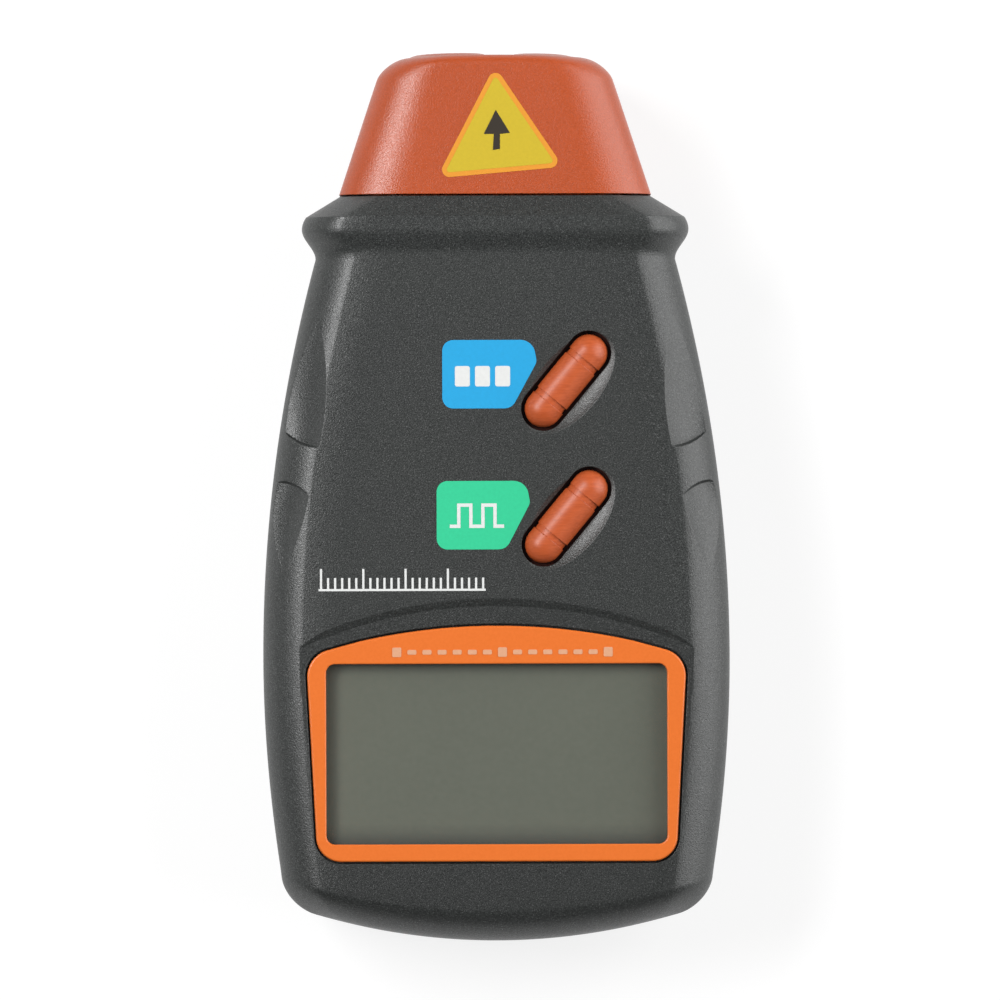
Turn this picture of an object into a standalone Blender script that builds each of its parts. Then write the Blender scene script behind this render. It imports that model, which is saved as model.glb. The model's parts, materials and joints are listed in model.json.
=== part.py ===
"""Hand-held laser tachometer, lying on its back.

Metres. +Z comes out of the front face, +Y runs towards the nose and +X to the right of someone reading the
display. The origin is on the surface that the case lies on, at the middle of its length and width.
"""

import math

import bmesh
import bpy
from mathutils import Vector

# Clearances
SEAT_GAP = 0.0003
SLIDE_GAP = 0.0003
BUTTON_GAP = 0.0005
HOLE_GAP = 0.0003

# Case, as seen from the front
NOSE_LENGTH = 0.02135
BODY_BESIDE_WINDOW = 0.00935
HEEL_TAPER = 0.0026
NECK_TAPER = 0.0079
WIDEST_FROM_FOOT = 0.0418
FOOT_CORNER_RADIUS = 0.0050
FOOT_ARC_RADIUS = 0.0920
NECK_BELOW_COLLAR = 0.00925
BEAD_OUT = 0.0020
BEAD_BELOW_COLLAR = 0.00485
BEAD_SHOULDER_BELOW_COLLAR = 0.00305
BEAD_SHOULDER_DROP = 0.0006
COLLAR_IN = 0.0056

# Case, as seen from the side
PARTING_HEIGHT = 0.0135
WALL = 0.0020
SIDE_BEVEL = 0.0053
SIDE_BEVEL_HEIGHT = 0.0099
BACK_BEVEL = 0.0050
BACK_BEVEL_TOP = 0.0090
FOOT_BEVEL = 0.0047
BEAD_RISE = 0.0010
BEAD_RISE_DELAY = 1 / 6
COLLAR_DROP = 0.0011
COLLAR_LIFT = 0.0023
NECK_HOLLOW = 0.0008
BEVEL_POWER = 1.7

# Finger scoops: two on each side, either side of a rib
SCOOP_RADIUS = 0.0120
SCOOP_DEPTH = 0.0017
SCOOP_SLANT = 0.45
SCOOP_LEAN = math.radians(40)
UPPER_SCOOP_INSET = 0.0054
UPPER_SCOOP_LENGTH = 0.0175
UPPER_SCOOP_LEAN = 0.0024
SCOOP_RIB_BELOW_COLLAR = 0.03955
SCOOP_RIB_WIDTH = 0.0066
LOWER_SCOOP_INSET = 0.0039
LOWER_SCOOP_LENGTH = 0.0130
LOWER_SCOOP_LEAN = 0.0015

# Display
WINDOW_FROM_FOOT = 0.01435
WINDOW_LENGTH = 0.0501
WINDOW_HEIGHT = 0.0265
WINDOW_RADIUS = 0.0013
BEZEL_SIDE = 0.0031
BEZEL_TAPER = 0.0016
BEZEL_FOOT = 0.00255
BEZEL_SHOULDER = 0.0012
BEZEL_CROWN = 0.0056
BEZEL_CROWN_SHARE = 0.72
BEZEL_SHOULDER_RADIUS = 0.0040
BEZEL_FOOT_RADIUS = 0.0037
BEZEL_THICKNESS = 0.0009
BEZEL_DROP = 0.0003
LEDGE_WIDTH = 0.0015
LEDGE_THICKNESS = 0.0012
RECESS_DEPTH = 0.00045
RECESS_MARGIN = 0.0040
RECESS_ARC_RADIUS = 0.0710
PANE_THICKNESS = 0.0010
GLASS_MARGIN = 0.0007
GLASS_THICKNESS = 0.0017
CARRIER_WALL = 0.0010
CARRIER_CORNER = 0.0018
CARRIER_DROP = 0.0007
STRIP_WIDTH = 0.0020
STRIP_HEIGHT = 0.0010

# Push buttons
BUTTON_LENGTH = 0.0161
BUTTON_WIDTH = 0.0055
BUTTON_ANGLE = math.radians(50.5)
BUTTON_X = 0.01035
MEMORY_BUTTON_BELOW_COLLAR = 0.02725
TEST_BUTTON_ABOVE_WINDOW = 0.02159
BUTTON_PITCH = 0.01996
BUTTON_STANDS_PROUD = 0.0016
BUTTON_FLANGE = 0.0009
BUTTON_FLANGE_THICKNESS = 0.0008
BUTTON_GROOVE_FROM_CENTRE = 0.0037
BUTTON_GROOVE_WIDTH = 0.0011
BUTTON_GROOVE_DEPTH = 0.00018
BUTTON_STEM_RADIUS = 0.0016
BUTTON_TOP_SWEEP = math.radians(84)
GUIDE_WALL = 0.0010
DISH_LENGTH = 0.0088
DISH_WIDTH = 0.0046
DISH_DEPTH = 0.0012
DISH_RISE = 0.0015
DISH_OFFSET = 0.0007

# Tact switches
SWITCH_SIDE = 0.0060
SWITCH_HEIGHT = 0.0014
PLUNGER_RADIUS = 0.0015
PLUNGER_HEIGHT = 0.0012
PLUNGER_DEPTH = 0.0006

# Nose cap
NOSE_BASE_OUT = 0.0002
NOSE_END_MARGIN = 0.0027
NOSE_CORNER_RADIUS = 0.0035
NOSE_BEVEL = 0.0060
NOSE_SLOPE = 0.0016
NOSE_WALL = 0.0018
NOSE_END_WALL = 0.0030
NOSE_END_ROUNDING = 0.0008
TONGUE_INSET = 0.0040
FLANGE_STEP = 0.0016
FLANGE_THICKNESS = 0.0020
TONGUE_WALL = 0.0018
PORT_SPACING = 0.0136
PORT_BOSS_RADIUS = 0.0066
PORT_BOSS_RISE = 0.0005
PORT_LIP = 0.0004
SOCKET_DEPTH = 0.0060
SOCKET_WALL = 0.0011

# Optics
RECEIVER_TUBE_RADIUS = 0.0046
RECEIVER_TUBE_WALL = 0.0008
RECEIVER_LENS_RADIUS = 0.0040
RECEIVER_LENS_CROWN = 0.0010
PHOTODIODE_RADIUS = 0.0025
PHOTODIODE_LENGTH = 0.0060
PHOTODIODE_RIM = 0.0004
LASER_BARREL_RADIUS = 0.0040
LASER_BORE_RADIUS = 0.0024
LASER_LENS_RADIUS = 0.0021
LASER_LENS_CROWN = 0.0001
LENS_THICKNESS = 0.0012

# Boards
BOARD_THICKNESS = 0.0010
BOARD_EDGE = 0.0050
BOARD_TONGUE_HALF_WIDTH = 0.0150
SENSOR_BOARD_HALF_WIDTH = 0.0155
SENSOR_BOARD_THICKNESS = 0.0016
SENSOR_BOARD_DROP = 0.0130
HEADER_LENGTH = 0.0120
HEADER_HEIGHT = 0.0025
CHIP_SIDE = 0.0120
CHIP_HEIGHT = 0.0014
CRYSTAL_LENGTH = 0.0110
CRYSTAL_WIDTH = 0.0044
CRYSTAL_HEIGHT = 0.0028
CAPACITOR_RADIUS = 0.0016
CAPACITOR_LENGTH = 0.0070

# Battery, its bay and the sliding door
BATTERY_WIDTH = 0.0265
BATTERY_BODY_LENGTH = 0.0464
BATTERY_DEPTH = 0.0175
BATTERY_EDGE_RADIUS = 0.0020
TERMINAL_HEIGHT = 0.0021
TERMINAL_SPACING = 0.0127
SMALL_TERMINAL_RADIUS = 0.0028
LARGE_TERMINAL_RADIUS = 0.0040
SNAP_THICKNESS = 0.0034
SNAP_HEIGHT = 0.0126
LEAD_ROOM = 0.0030
LEAD_RADIUS = 0.00065
BAY_CLEARANCE = 0.0005
BAY_WALL = 0.0014
BAY_FROM_FOOT = 0.0089
DOOR_SIDE_MARGIN = 0.00295
DOOR_INSET = 0.0003
DOOR_SKIN = 0.0009
DOOR_TONGUE = 0.0010
DOOR_TONGUE_WIDTH = 0.0015
DOOR_LIP_HEIGHT = 0.0060
DOOR_LIP_LENGTH = 0.0037
RAIL_HEIGHT = 0.0012
RAIL_SIDE = 0.0013
GRIP_COUNT = 5
GRIP_PITCH = 0.0020
GRIP_FROM_BAY = 0.0040
GRIP_WIDTH = 0.0009
GRIP_LENGTH = 0.0140
GRIP_DEPTH = 0.0004

# Screws
SCREW_RADIUS = 0.0011
SCREW_HEAD_RADIUS = 0.0024
SCREW_HEAD_HEIGHT = 0.0018
SCREW_HEAD_SINK = 0.0009
SCREW_SLOT_WIDTH = 0.0008
SCREW_SLOT_LENGTH = 0.0030
SCREW_SLOT_DEPTH = 0.0007
SCREW_LENGTH = 0.0178
BOSS_RADIUS = 0.0030
UPPER_SCREW_INSET = 0.0070
UPPER_SCREW_BELOW_COLLAR = 0.01515
LOWER_SCREW_INSET = 0.0088
LOWER_SCREW_FROM_FOOT = 0.0083
BOARD_SCREW_RADIUS = 0.0008
BOARD_SCREW_HEAD_RADIUS = 0.0018
BOARD_SCREW_HEAD_HEIGHT = 0.0010
BOARD_SCREW_LENGTH = 0.0032
BOARD_BOSS_RADIUS = 0.0023
BOARD_SCREW_INSET = 0.0129
UPPER_BOARD_SCREW_BELOW_COLLAR = 0.02415
LOWER_BOARD_SCREW_ABOVE_GLASS = 0.0070

# Length: the display, the two buttons and the nose, one after another
BODY_LENGTH = (
    WINDOW_FROM_FOOT + WINDOW_HEIGHT + TEST_BUTTON_ABOVE_WINDOW + BUTTON_PITCH + MEMORY_BUTTON_BELOW_COLLAR
)
OVERALL_LENGTH = BODY_LENGTH + NOSE_LENGTH
FOOT_Y = -OVERALL_LENGTH / 2
COLLAR_Y = FOOT_Y + BODY_LENGTH
NECK_Y = COLLAR_Y - NECK_BELOW_COLLAR
BEAD_Y = COLLAR_Y - BEAD_BELOW_COLLAR
BEAD_SHOULDER_Y = COLLAR_Y - BEAD_SHOULDER_BELOW_COLLAR
WIDEST_Y = FOOT_Y + WIDEST_FROM_FOOT
DISPLAY_Y = FOOT_Y + WINDOW_FROM_FOOT + WINDOW_HEIGHT / 2
SCOOP_RIB_Y = COLLAR_Y - SCOOP_RIB_BELOW_COLLAR

# Width: the window and what stands beside it
BODY_HALF_WIDTH = WINDOW_LENGTH / 2 + BODY_BESIDE_WINDOW
HEEL_HALF_WIDTH = BODY_HALF_WIDTH - HEEL_TAPER
NECK_HALF_WIDTH = BODY_HALF_WIDTH - NECK_TAPER
BEAD_HALF_WIDTH = NECK_HALF_WIDTH + BEAD_OUT
COLLAR_HALF_WIDTH = BEAD_HALF_WIDTH - COLLAR_IN
NOSE_BASE_HALF_WIDTH = COLLAR_HALF_WIDTH + NOSE_BASE_OUT
NOSE_END_HALF_WIDTH = PORT_SPACING / 2 + PORT_BOSS_RADIUS + NOSE_END_MARGIN
UPPER_SCOOP_HEEL_X = BODY_HALF_WIDTH - UPPER_SCOOP_INSET
LOWER_SCOOP_HEEL_X = BODY_HALF_WIDTH - LOWER_SCOOP_INSET
UPPER_SCREW_X = NECK_HALF_WIDTH - UPPER_SCREW_INSET
LOWER_SCREW_X = HEEL_HALF_WIDTH - LOWER_SCREW_INSET
BOARD_SCREW_X = BODY_HALF_WIDTH - BOARD_SCREW_INSET

# Height: the door, the battery, the board and the display, one on another
DOOR_INNER = DOOR_INSET + DOOR_SKIN + DOOR_TONGUE
BATTERY_FOOT = DOOR_INNER + SEAT_GAP
BATTERY_TOP = BATTERY_FOOT + BATTERY_DEPTH
BOARD_FOOT = BATTERY_TOP + SEAT_GAP
BOARD_TOP = BOARD_FOOT + BOARD_THICKNESS
ON_BOARD = BOARD_TOP + SEAT_GAP
GLASS_FOOT = ON_BOARD + STRIP_HEIGHT + SEAT_GAP
GLASS_TOP = GLASS_FOOT + GLASS_THICKNESS
PANE_FOOT = GLASS_TOP + SEAT_GAP
PANE_TOP = PANE_FOOT + PANE_THICKNESS
LEDGE_TOP = PANE_TOP
LEDGE_FOOT = LEDGE_TOP - LEDGE_THICKNESS
BEZEL_TOP = LEDGE_TOP + SEAT_GAP + BEZEL_THICKNESS
FACE_HEIGHT = BEZEL_TOP + BEZEL_DROP
INNER_FACE = FACE_HEIGHT - WALL
SIDE_BEVEL_FOOT = FACE_HEIGHT - SIDE_BEVEL_HEIGHT
OPTIC_HEIGHT = (FACE_HEIGHT - COLLAR_DROP + COLLAR_LIFT) / 2

# Battery bay, its slots and rails
BAY_Y = FOOT_Y + BAY_FROM_FOOT
BATTERY_Y = BAY_Y + SEAT_GAP
SNAP_Y = BATTERY_Y + BATTERY_BODY_LENGTH + TERMINAL_HEIGHT + SEAT_GAP
BAY_END_Y = SNAP_Y + SNAP_THICKNESS + LEAD_ROOM
BAY_HALF_WIDTH = BATTERY_WIDTH / 2 + BAY_CLEARANCE
DOOR_Y = BAY_END_Y + BAY_WALL
DOOR_HALF_WIDTH = BAY_HALF_WIDTH + DOOR_SIDE_MARGIN
SLOT_HALF_WIDTH = DOOR_HALF_WIDTH + DOOR_TONGUE_WIDTH + SLIDE_GAP
SLOT_FOOT = DOOR_INSET + DOOR_SKIN - SLIDE_GAP
SLOT_TOP = DOOR_INNER + SLIDE_GAP
RAIL_HALF_WIDTH = SLOT_HALF_WIDTH + RAIL_SIDE
RAIL_TOP = SLOT_TOP + RAIL_HEIGHT

# Facets
ACROSS_FACE = 4
ACROSS_BEVEL = 6
ALONG_BODY = 16
ROUND = 24
SMALL_ROUND = 12
HEXAGON = 6

# Limits of the shape tools
MITRE_LIMIT = 0.2
ROUNDING_LIMIT = 0.9
MERGE_DISTANCE = 2e-6
FLAT_ANGLE = math.radians(0.05)
SHARP_ANGLE = math.radians(35)


# Shape tools

def steps(start, end, count):
    """count + 1 evenly spaced values from start to end."""
    return [start + (end - start) * i / count for i in range(count + 1)]


def circle(x, y, radius, count=ROUND):
    """Points of a circle, anticlockwise."""
    angles = [2 * math.pi * (i + 0.5) / count for i in range(count)]
    return [(x + radius * math.cos(a), y + radius * math.sin(a)) for a in angles]


def capsule(x, y, half_length, radius, angle, count=ROUND):
    """Points of a slot with round ends, its long axis turned by angle."""
    straight = half_length - radius
    points = []
    for i in range(count + 1):
        a = -math.pi / 2 + math.pi * i / count
        points.append((straight + radius * math.cos(a), radius * math.sin(a)))
    points += [(-u, -v) for u, v in points]
    cosine = math.cos(angle)
    sine = math.sin(angle)
    return [(x + u * cosine - v * sine, y + u * sine + v * cosine) for u, v in points]


def rounded(corners, count=5):
    """Outline through corners (x, y, radius), listed anticlockwise, each rounded by its radius."""
    points = []
    for i, (x, y, radius) in enumerate(corners):
        if radius <= 0:
            points.append((x, y))
            continue
        corner = Vector((x, y))
        back = (Vector(corners[i - 1][:2]) - corner).normalized()
        ahead = (Vector(corners[(i + 1) % len(corners)][:2]) - corner).normalized()
        half = back.angle(ahead) / 2
        reach = radius / math.tan(half)
        middle = corner + (back + ahead).normalized() * radius / math.sin(half)
        first = corner + back * reach - middle
        last = corner + ahead * reach - middle
        sweep = first.angle_signed(last)
        for k in range(count + 1):
            a = -sweep * k / count
            turned = Vector((
                first.x * math.cos(a) - first.y * math.sin(a),
                first.x * math.sin(a) + first.y * math.cos(a),
            ))
            points.append(tuple(middle + turned))
    return points


def rectangle(x, y, half_x, half_y, radius=0.0, count=4):
    """Rectangle with its corners rounded."""
    signs = ((-1, -1), (1, -1), (1, 1), (-1, 1))
    return rounded([(x + sx * half_x, y + sy * half_y, radius) for sx, sy in signs], count)


def grown(outline, distance):
    """The outline moved outwards by distance, or inwards if it is negative."""
    result = []
    for i, point in enumerate(outline):
        before = Vector(outline[i - 1])
        here = Vector(point)
        after = Vector(outline[(i + 1) % len(outline)])
        one = (here - before).normalized()
        two = (after - here).normalized()
        normal = (Vector((one.y, -one.x)) + Vector((two.y, -two.x))).normalized()
        lengthen = max(normal.dot(Vector((one.y, -one.x))), MITRE_LIMIT)
        moved = here + normal * distance / lengthen
        result.append((moved.x, moved.y))
    return result


def loft(rings):
    """Closed solid through rings that have the same number of points, with flat ends."""
    bm = bmesh.new()
    rows = [[bm.verts.new(point) for point in ring] for ring in rings]
    count = len(rows[0])
    for lower, upper in zip(rows, rows[1:]):
        for i in range(count):
            k = (i + 1) % count
            bm.faces.new((lower[i], lower[k], upper[k], upper[i]))
    bm.faces.new(list(reversed(rows[0])))
    bm.faces.new(rows[-1])
    bmesh.ops.recalc_face_normals(bm, faces=bm.faces)
    return bm


def prism(outline, low, high):
    """Outline in X and Y, extruded from height low to height high."""
    return loft([[(x, y, z) for x, y in outline] for z in (low, high)])


def bar(outline, start, end):
    """Outline in X and Z, extruded along Y."""
    return loft([[(x, y, z) for x, z in outline] for y in (start, end)])


def box(low, high):
    """Block between two corners."""
    outline = rectangle(
        (low[0] + high[0]) / 2, (low[1] + high[1]) / 2, (high[0] - low[0]) / 2, (high[1] - low[1]) / 2
    )
    return prism(outline, low[2], high[2])


def turned(profile, centre, axis, count=ROUND):
    """Solid of revolution. profile lists (radius, distance along axis) from end to end, both on the axis."""
    first, second = (("y", "z"), ("z", "x"), ("x", "y"))["XYZ".index(axis)]
    bm = bmesh.new()
    rows = []
    for radius, along in profile:
        row = []
        for i in range(count if radius > 0 else 1):
            angle = 2 * math.pi * i / count
            point = Vector(centre)
            setattr(point, axis.lower(), getattr(point, axis.lower()) + along)
            setattr(point, first, getattr(point, first) + radius * math.cos(angle))
            setattr(point, second, getattr(point, second) + radius * math.sin(angle))
            row.append(bm.verts.new(point))
        rows.append(row)
    for lower, upper in zip(rows, rows[1:]):
        for i in range(count):
            k = (i + 1) % count
            near = [lower[i % len(lower)], lower[k % len(lower)]]
            far = [upper[k % len(upper)], upper[i % len(upper)]]
            corners = list(dict.fromkeys(near + far))
            if len(corners) > 2:
                bm.faces.new(corners)
    bmesh.ops.recalc_face_normals(bm, faces=bm.faces)
    return bm


def material(name, colour, roughness, metallic=0.0, alpha=1.0):
    """Plain finish of one piece."""
    finish = bpy.data.materials.new(name)
    finish.use_nodes = True
    shader = finish.node_tree.nodes["Principled BSDF"]
    shader.inputs["Base Color"].default_value = (*colour, 1.0)
    shader.inputs["Roughness"].default_value = roughness
    shader.inputs["Metallic"].default_value = metallic
    shader.inputs["Alpha"].default_value = alpha
    return finish


def piece(name, bm, finish, origin=(0.0, 0.0, 0.0)):
    """Named object with its origin at the given point."""
    bmesh.ops.translate(bm, verts=bm.verts, vec=-Vector(origin))
    mesh = bpy.data.meshes.new(name)
    bm.to_mesh(mesh)
    bm.free()
    obj = bpy.data.objects.new(name, mesh)
    obj.location = origin
    bpy.context.collection.objects.link(obj)
    mesh.materials.append(finish)
    return obj


def combine(obj, tool, operation):
    """Boolean of an object with one more shape, applied at once."""
    mesh = bpy.data.meshes.new("tool")
    bmesh.ops.triangulate(tool, faces=tool.faces)
    bmesh.ops.translate(tool, verts=tool.verts, vec=-obj.location)
    tool.to_mesh(mesh)
    tool.free()
    other = bpy.data.objects.new("tool", mesh)
    other.location = obj.location
    bpy.context.collection.objects.link(other)
    modifier = obj.modifiers.new("shape", "BOOLEAN")
    modifier.solver = "EXACT"
    modifier.operation = operation
    modifier.object = other
    bpy.context.view_layer.update()
    graph = bpy.context.evaluated_depsgraph_get()
    result = bpy.data.meshes.new_from_object(obj.evaluated_get(graph))
    obj.modifiers.clear()
    obj.data = result
    bpy.data.objects.remove(other)
    bpy.data.meshes.remove(mesh)


def add(obj, *tools):
    """Fuse shapes to an object."""
    for tool in tools:
        combine(obj, tool, "UNION")


def cut(obj, *tools):
    """Cut shapes out of an object."""
    for tool in tools:
        combine(obj, tool, "DIFFERENCE")


def finish_surface(obj):
    """Merge flat facets and shade the round ones smooth."""
    bm = bmesh.new()
    bm.from_mesh(obj.data)
    bmesh.ops.remove_doubles(bm, verts=bm.verts, dist=MERGE_DISTANCE)
    bmesh.ops.dissolve_limit(bm, angle_limit=FLAT_ANGLE, verts=bm.verts, edges=bm.edges)
    bmesh.ops.triangulate(bm, faces=bm.faces)
    bm.to_mesh(obj.data)
    bm.free()
    obj.data.shade_smooth()
    obj.data.set_sharp_from_angle(angle=SHARP_ANGLE)


# Outer form of the case

def ease(share):
    """Smooth step from 0 to 1."""
    share = min(max(share, 0.0), 1.0)
    return (1 - math.cos(math.pi * share)) / 2


def half_width(s):
    """Half-width at the parting line. s is the place along the middle line."""
    corner_y = FOOT_Y + FOOT_CORNER_RADIUS
    if s < corner_y:
        drop = min(corner_y - s, FOOT_CORNER_RADIUS)
        return HEEL_HALF_WIDTH - FOOT_CORNER_RADIUS + math.sqrt(FOOT_CORNER_RADIUS**2 - drop**2)
    if s < WIDEST_Y:
        share = (WIDEST_Y - s) / (WIDEST_Y - corner_y)
        return BODY_HALF_WIDTH - (BODY_HALF_WIDTH - HEEL_HALF_WIDTH) * share**2
    if s < NECK_Y:
        share = (s - WIDEST_Y) / (NECK_Y - WIDEST_Y)
        return BODY_HALF_WIDTH - (BODY_HALF_WIDTH - NECK_HALF_WIDTH) * share**2
    if s < BEAD_Y:
        return NECK_HALF_WIDTH + (BEAD_HALF_WIDTH - NECK_HALF_WIDTH) * ease((s - NECK_Y) / (BEAD_Y - NECK_Y))
    if s < BEAD_SHOULDER_Y:
        share = (s - BEAD_Y) / (BEAD_SHOULDER_Y - BEAD_Y)
        return BEAD_HALF_WIDTH - BEAD_SHOULDER_DROP * share**2
    share = (s - BEAD_SHOULDER_Y) / (COLLAR_Y - BEAD_SHOULDER_Y)
    shoulder = BEAD_HALF_WIDTH - BEAD_SHOULDER_DROP
    return shoulder + (COLLAR_HALF_WIDTH - shoulder) * share


def bevel_share(share):
    """Height left of a rounded bevel at a share of its width."""
    share = min(max(share, 0.0), 1.0)
    return (1 - share**BEVEL_POWER) ** (1 / BEVEL_POWER)


def front_height(s):
    """Height of the front face along the middle line."""
    foot_edge = FOOT_Y + FOOT_BEVEL
    if s < foot_edge:
        return SIDE_BEVEL_FOOT + (FACE_HEIGHT - SIDE_BEVEL_FOOT) * bevel_share((foot_edge - s) / FOOT_BEVEL)
    if s < BEAD_SHOULDER_Y:
        start = NECK_Y + (BEAD_Y - NECK_Y) * BEAD_RISE_DELAY
        return FACE_HEIGHT + BEAD_RISE * ease((s - start) / (BEAD_Y - start))
    share = (s - BEAD_SHOULDER_Y) / (COLLAR_Y - BEAD_SHOULDER_Y)
    return FACE_HEIGHT + BEAD_RISE - (BEAD_RISE + COLLAR_DROP) * share


def back_height(s):
    """Height of the back face along the middle line."""
    foot_edge = FOOT_Y + FOOT_BEVEL
    if s < foot_edge:
        return BACK_BEVEL_TOP * (1 - bevel_share((foot_edge - s) / FOOT_BEVEL))
    if s < BEAD_Y:
        reach = BEAD_Y - NECK_Y
        return NECK_HOLLOW * (1 - ease(abs(s - NECK_Y) / reach))
    if s < BEAD_SHOULDER_Y:
        return 0.0
    return COLLAR_LIFT * (s - BEAD_SHOULDER_Y) / (COLLAR_Y - BEAD_SHOULDER_Y)


def foot_bow(s):
    """Share of the foot's arc that a cross line has at s."""
    return min(max((WIDEST_Y - s) / (WIDEST_Y - FOOT_Y), 0.0), 1.0)


def stations(inset):
    """Places along the middle line at which the case's section is drawn."""
    foot = FOOT_Y + inset
    along = ALONG_BODY if inset < WALL else ALONG_BODY // 2
    rows = [foot + FOOT_BEVEL * (1 - math.cos(a)) for a in steps(0.0, math.pi / 2, 5)]
    rows += steps(foot + FOOT_BEVEL, NECK_Y - (BEAD_Y - NECK_Y), along)[1:]
    rows += steps(NECK_Y - (BEAD_Y - NECK_Y), NECK_Y, 3)[1:]
    rows += steps(NECK_Y, BEAD_Y, 6)[1:]
    rows += steps(BEAD_Y, BEAD_SHOULDER_Y, 2)[1:]
    rows += steps(BEAD_SHOULDER_Y, COLLAR_Y, 2)[1:]
    return rows


def section(s, inset, front):
    """Points across the case at s, from its left edge to its right edge."""
    outer_s = s - inset * foot_bow(s)
    wide = half_width(outer_s) - inset
    if front:
        edge = SIDE_BEVEL_FOOT - inset
        level = front_height(outer_s) - inset
        bevel = SIDE_BEVEL
    else:
        edge = BACK_BEVEL_TOP + inset
        level = back_height(outer_s) + inset
        bevel = BACK_BEVEL
    right = [(x, level) for x in steps(0.0, wide - bevel, ACROSS_FACE)[:-1]]
    for a in steps(0.0, math.pi / 2, ACROSS_BEVEL if inset < WALL else ACROSS_BEVEL // 2):
        share = math.sin(a) ** (2 / BEVEL_POWER)
        right.append((wide - bevel + bevel * share, edge + (level - edge) * bevel_share(share)))
    line = [(-x, z) for x, z in reversed(right[1:])] + right
    bow = foot_bow(s) / (2 * FOOT_ARC_RADIUS)
    return [(x, s + bow * x * x, z) for x, z in line]


def case_half(front, plane, inset=0.0, end=None):
    """Solid half of the case between its outer form and a plane, drawn in by inset."""
    rows = [s for s in stations(inset) if end is None or s < end]
    if end is not None:
        rows.append(end)
    bm = bmesh.new()
    skin = []
    floor = []
    for s in rows:
        points = section(s, inset, front)
        skin.append([bm.verts.new(point) for point in points])
        floor.append([bm.verts.new((x, y, plane)) for x, y, _ in points])
    across = len(skin[0])
    for grid in (skin, floor):
        for lower, upper in zip(grid, grid[1:]):
            for i in range(across - 1):
                bm.faces.new((lower[i], lower[i + 1], upper[i + 1], upper[i]))
    for i in range(across - 1):
        for row in (0, -1):
            bm.faces.new((skin[row][i], skin[row][i + 1], floor[row][i + 1], floor[row][i]))
    for k in range(len(rows) - 1):
        for i in (0, -1):
            bm.faces.new((skin[k][i], skin[k + 1][i], floor[k + 1][i], floor[k][i]))
    bmesh.ops.recalc_face_normals(bm, faces=bm.faces)
    return bm


def skin_height(x, y):
    """Height of the case's front skin over a point."""
    s = y
    for _ in range(6):
        s = y - foot_bow(s) * x * x / (2 * FOOT_ARC_RADIUS)
    share = (abs(x) - half_width(s) + SIDE_BEVEL) / SIDE_BEVEL
    return SIDE_BEVEL_FOOT + (front_height(s) - SIDE_BEVEL_FOOT) * bevel_share(share)


# Outlines that more than one piece follows

def bezel_outline(grow=0.0):
    """Outer edge of the display bezel."""
    top_x = WINDOW_LENGTH / 2 + BEZEL_SIDE
    foot_x = top_x - BEZEL_TAPER
    foot_y = DISPLAY_Y - WINDOW_HEIGHT / 2 - BEZEL_FOOT
    side_y = DISPLAY_Y + WINDOW_HEIGHT / 2 + BEZEL_SHOULDER
    crown_y = DISPLAY_Y + WINDOW_HEIGHT / 2 + BEZEL_CROWN
    rise = crown_y - side_y
    radius = (top_x**2 + rise**2) / (2 * rise)
    corners = [
        (-foot_x, foot_y, BEZEL_FOOT_RADIUS),
        (foot_x, foot_y, BEZEL_FOOT_RADIUS),
        (top_x, side_y, BEZEL_SHOULDER_RADIUS),
    ]
    for x in steps(BEZEL_CROWN_SHARE * top_x, -BEZEL_CROWN_SHARE * top_x, 12):
        corners.append((x, crown_y - radius + math.sqrt(radius**2 - x**2), 0.0))
    corners.append((-top_x, side_y, BEZEL_SHOULDER_RADIUS))
    outline = rounded(corners)
    return grown(outline, grow) if grow else outline


def glass_outline(grow=0.0, radius=0.0):
    """Edge of the display glass."""
    half_x = WINDOW_LENGTH / 2 + GLASS_MARGIN + grow
    half_y = WINDOW_HEIGHT / 2 + GLASS_MARGIN + grow
    return rectangle(0.0, DISPLAY_Y, half_x, half_y, radius)


def button_places():
    """Name and centre of each push button."""
    memory_y = COLLAR_Y - MEMORY_BUTTON_BELOW_COLLAR
    return (("memory", BUTTON_X, memory_y), ("test", BUTTON_X, memory_y - BUTTON_PITCH))


def button_outline(x, y, grow=0.0):
    """Capsule outline of a push button."""
    return capsule(x, y, BUTTON_LENGTH / 2 + grow, BUTTON_WIDTH / 2 + grow, BUTTON_ANGLE, 10)


def case_screw_places():
    """Axis of each screw that holds the shells together."""
    upper_y = COLLAR_Y - UPPER_SCREW_BELOW_COLLAR
    lower_y = FOOT_Y + LOWER_SCREW_FROM_FOOT
    return [(sx * x, y) for x, y in ((UPPER_SCREW_X, upper_y), (LOWER_SCREW_X, lower_y)) for sx in (-1, 1)]


def board_screw_places():
    """Axis of each screw that holds the main board."""
    upper_y = COLLAR_Y - UPPER_BOARD_SCREW_BELOW_COLLAR
    lower_y = DISPLAY_Y + WINDOW_HEIGHT / 2 + LOWER_BOARD_SCREW_ABOVE_GLASS
    return [(sx * BOARD_SCREW_X, y) for y in (upper_y, lower_y) for sx in (-1, 1)]


def nose_outline(inset):
    """Section of the nose's tongue in X and Z."""
    half_z = (FACE_HEIGHT - COLLAR_DROP - COLLAR_LIFT) / 2 - inset
    radius = min(NOSE_BEVEL, half_z * ROUNDING_LIMIT)
    return rectangle(0.0, OPTIC_HEIGHT, COLLAR_HALF_WIDTH - inset, half_z, radius)


# Front shell

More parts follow.
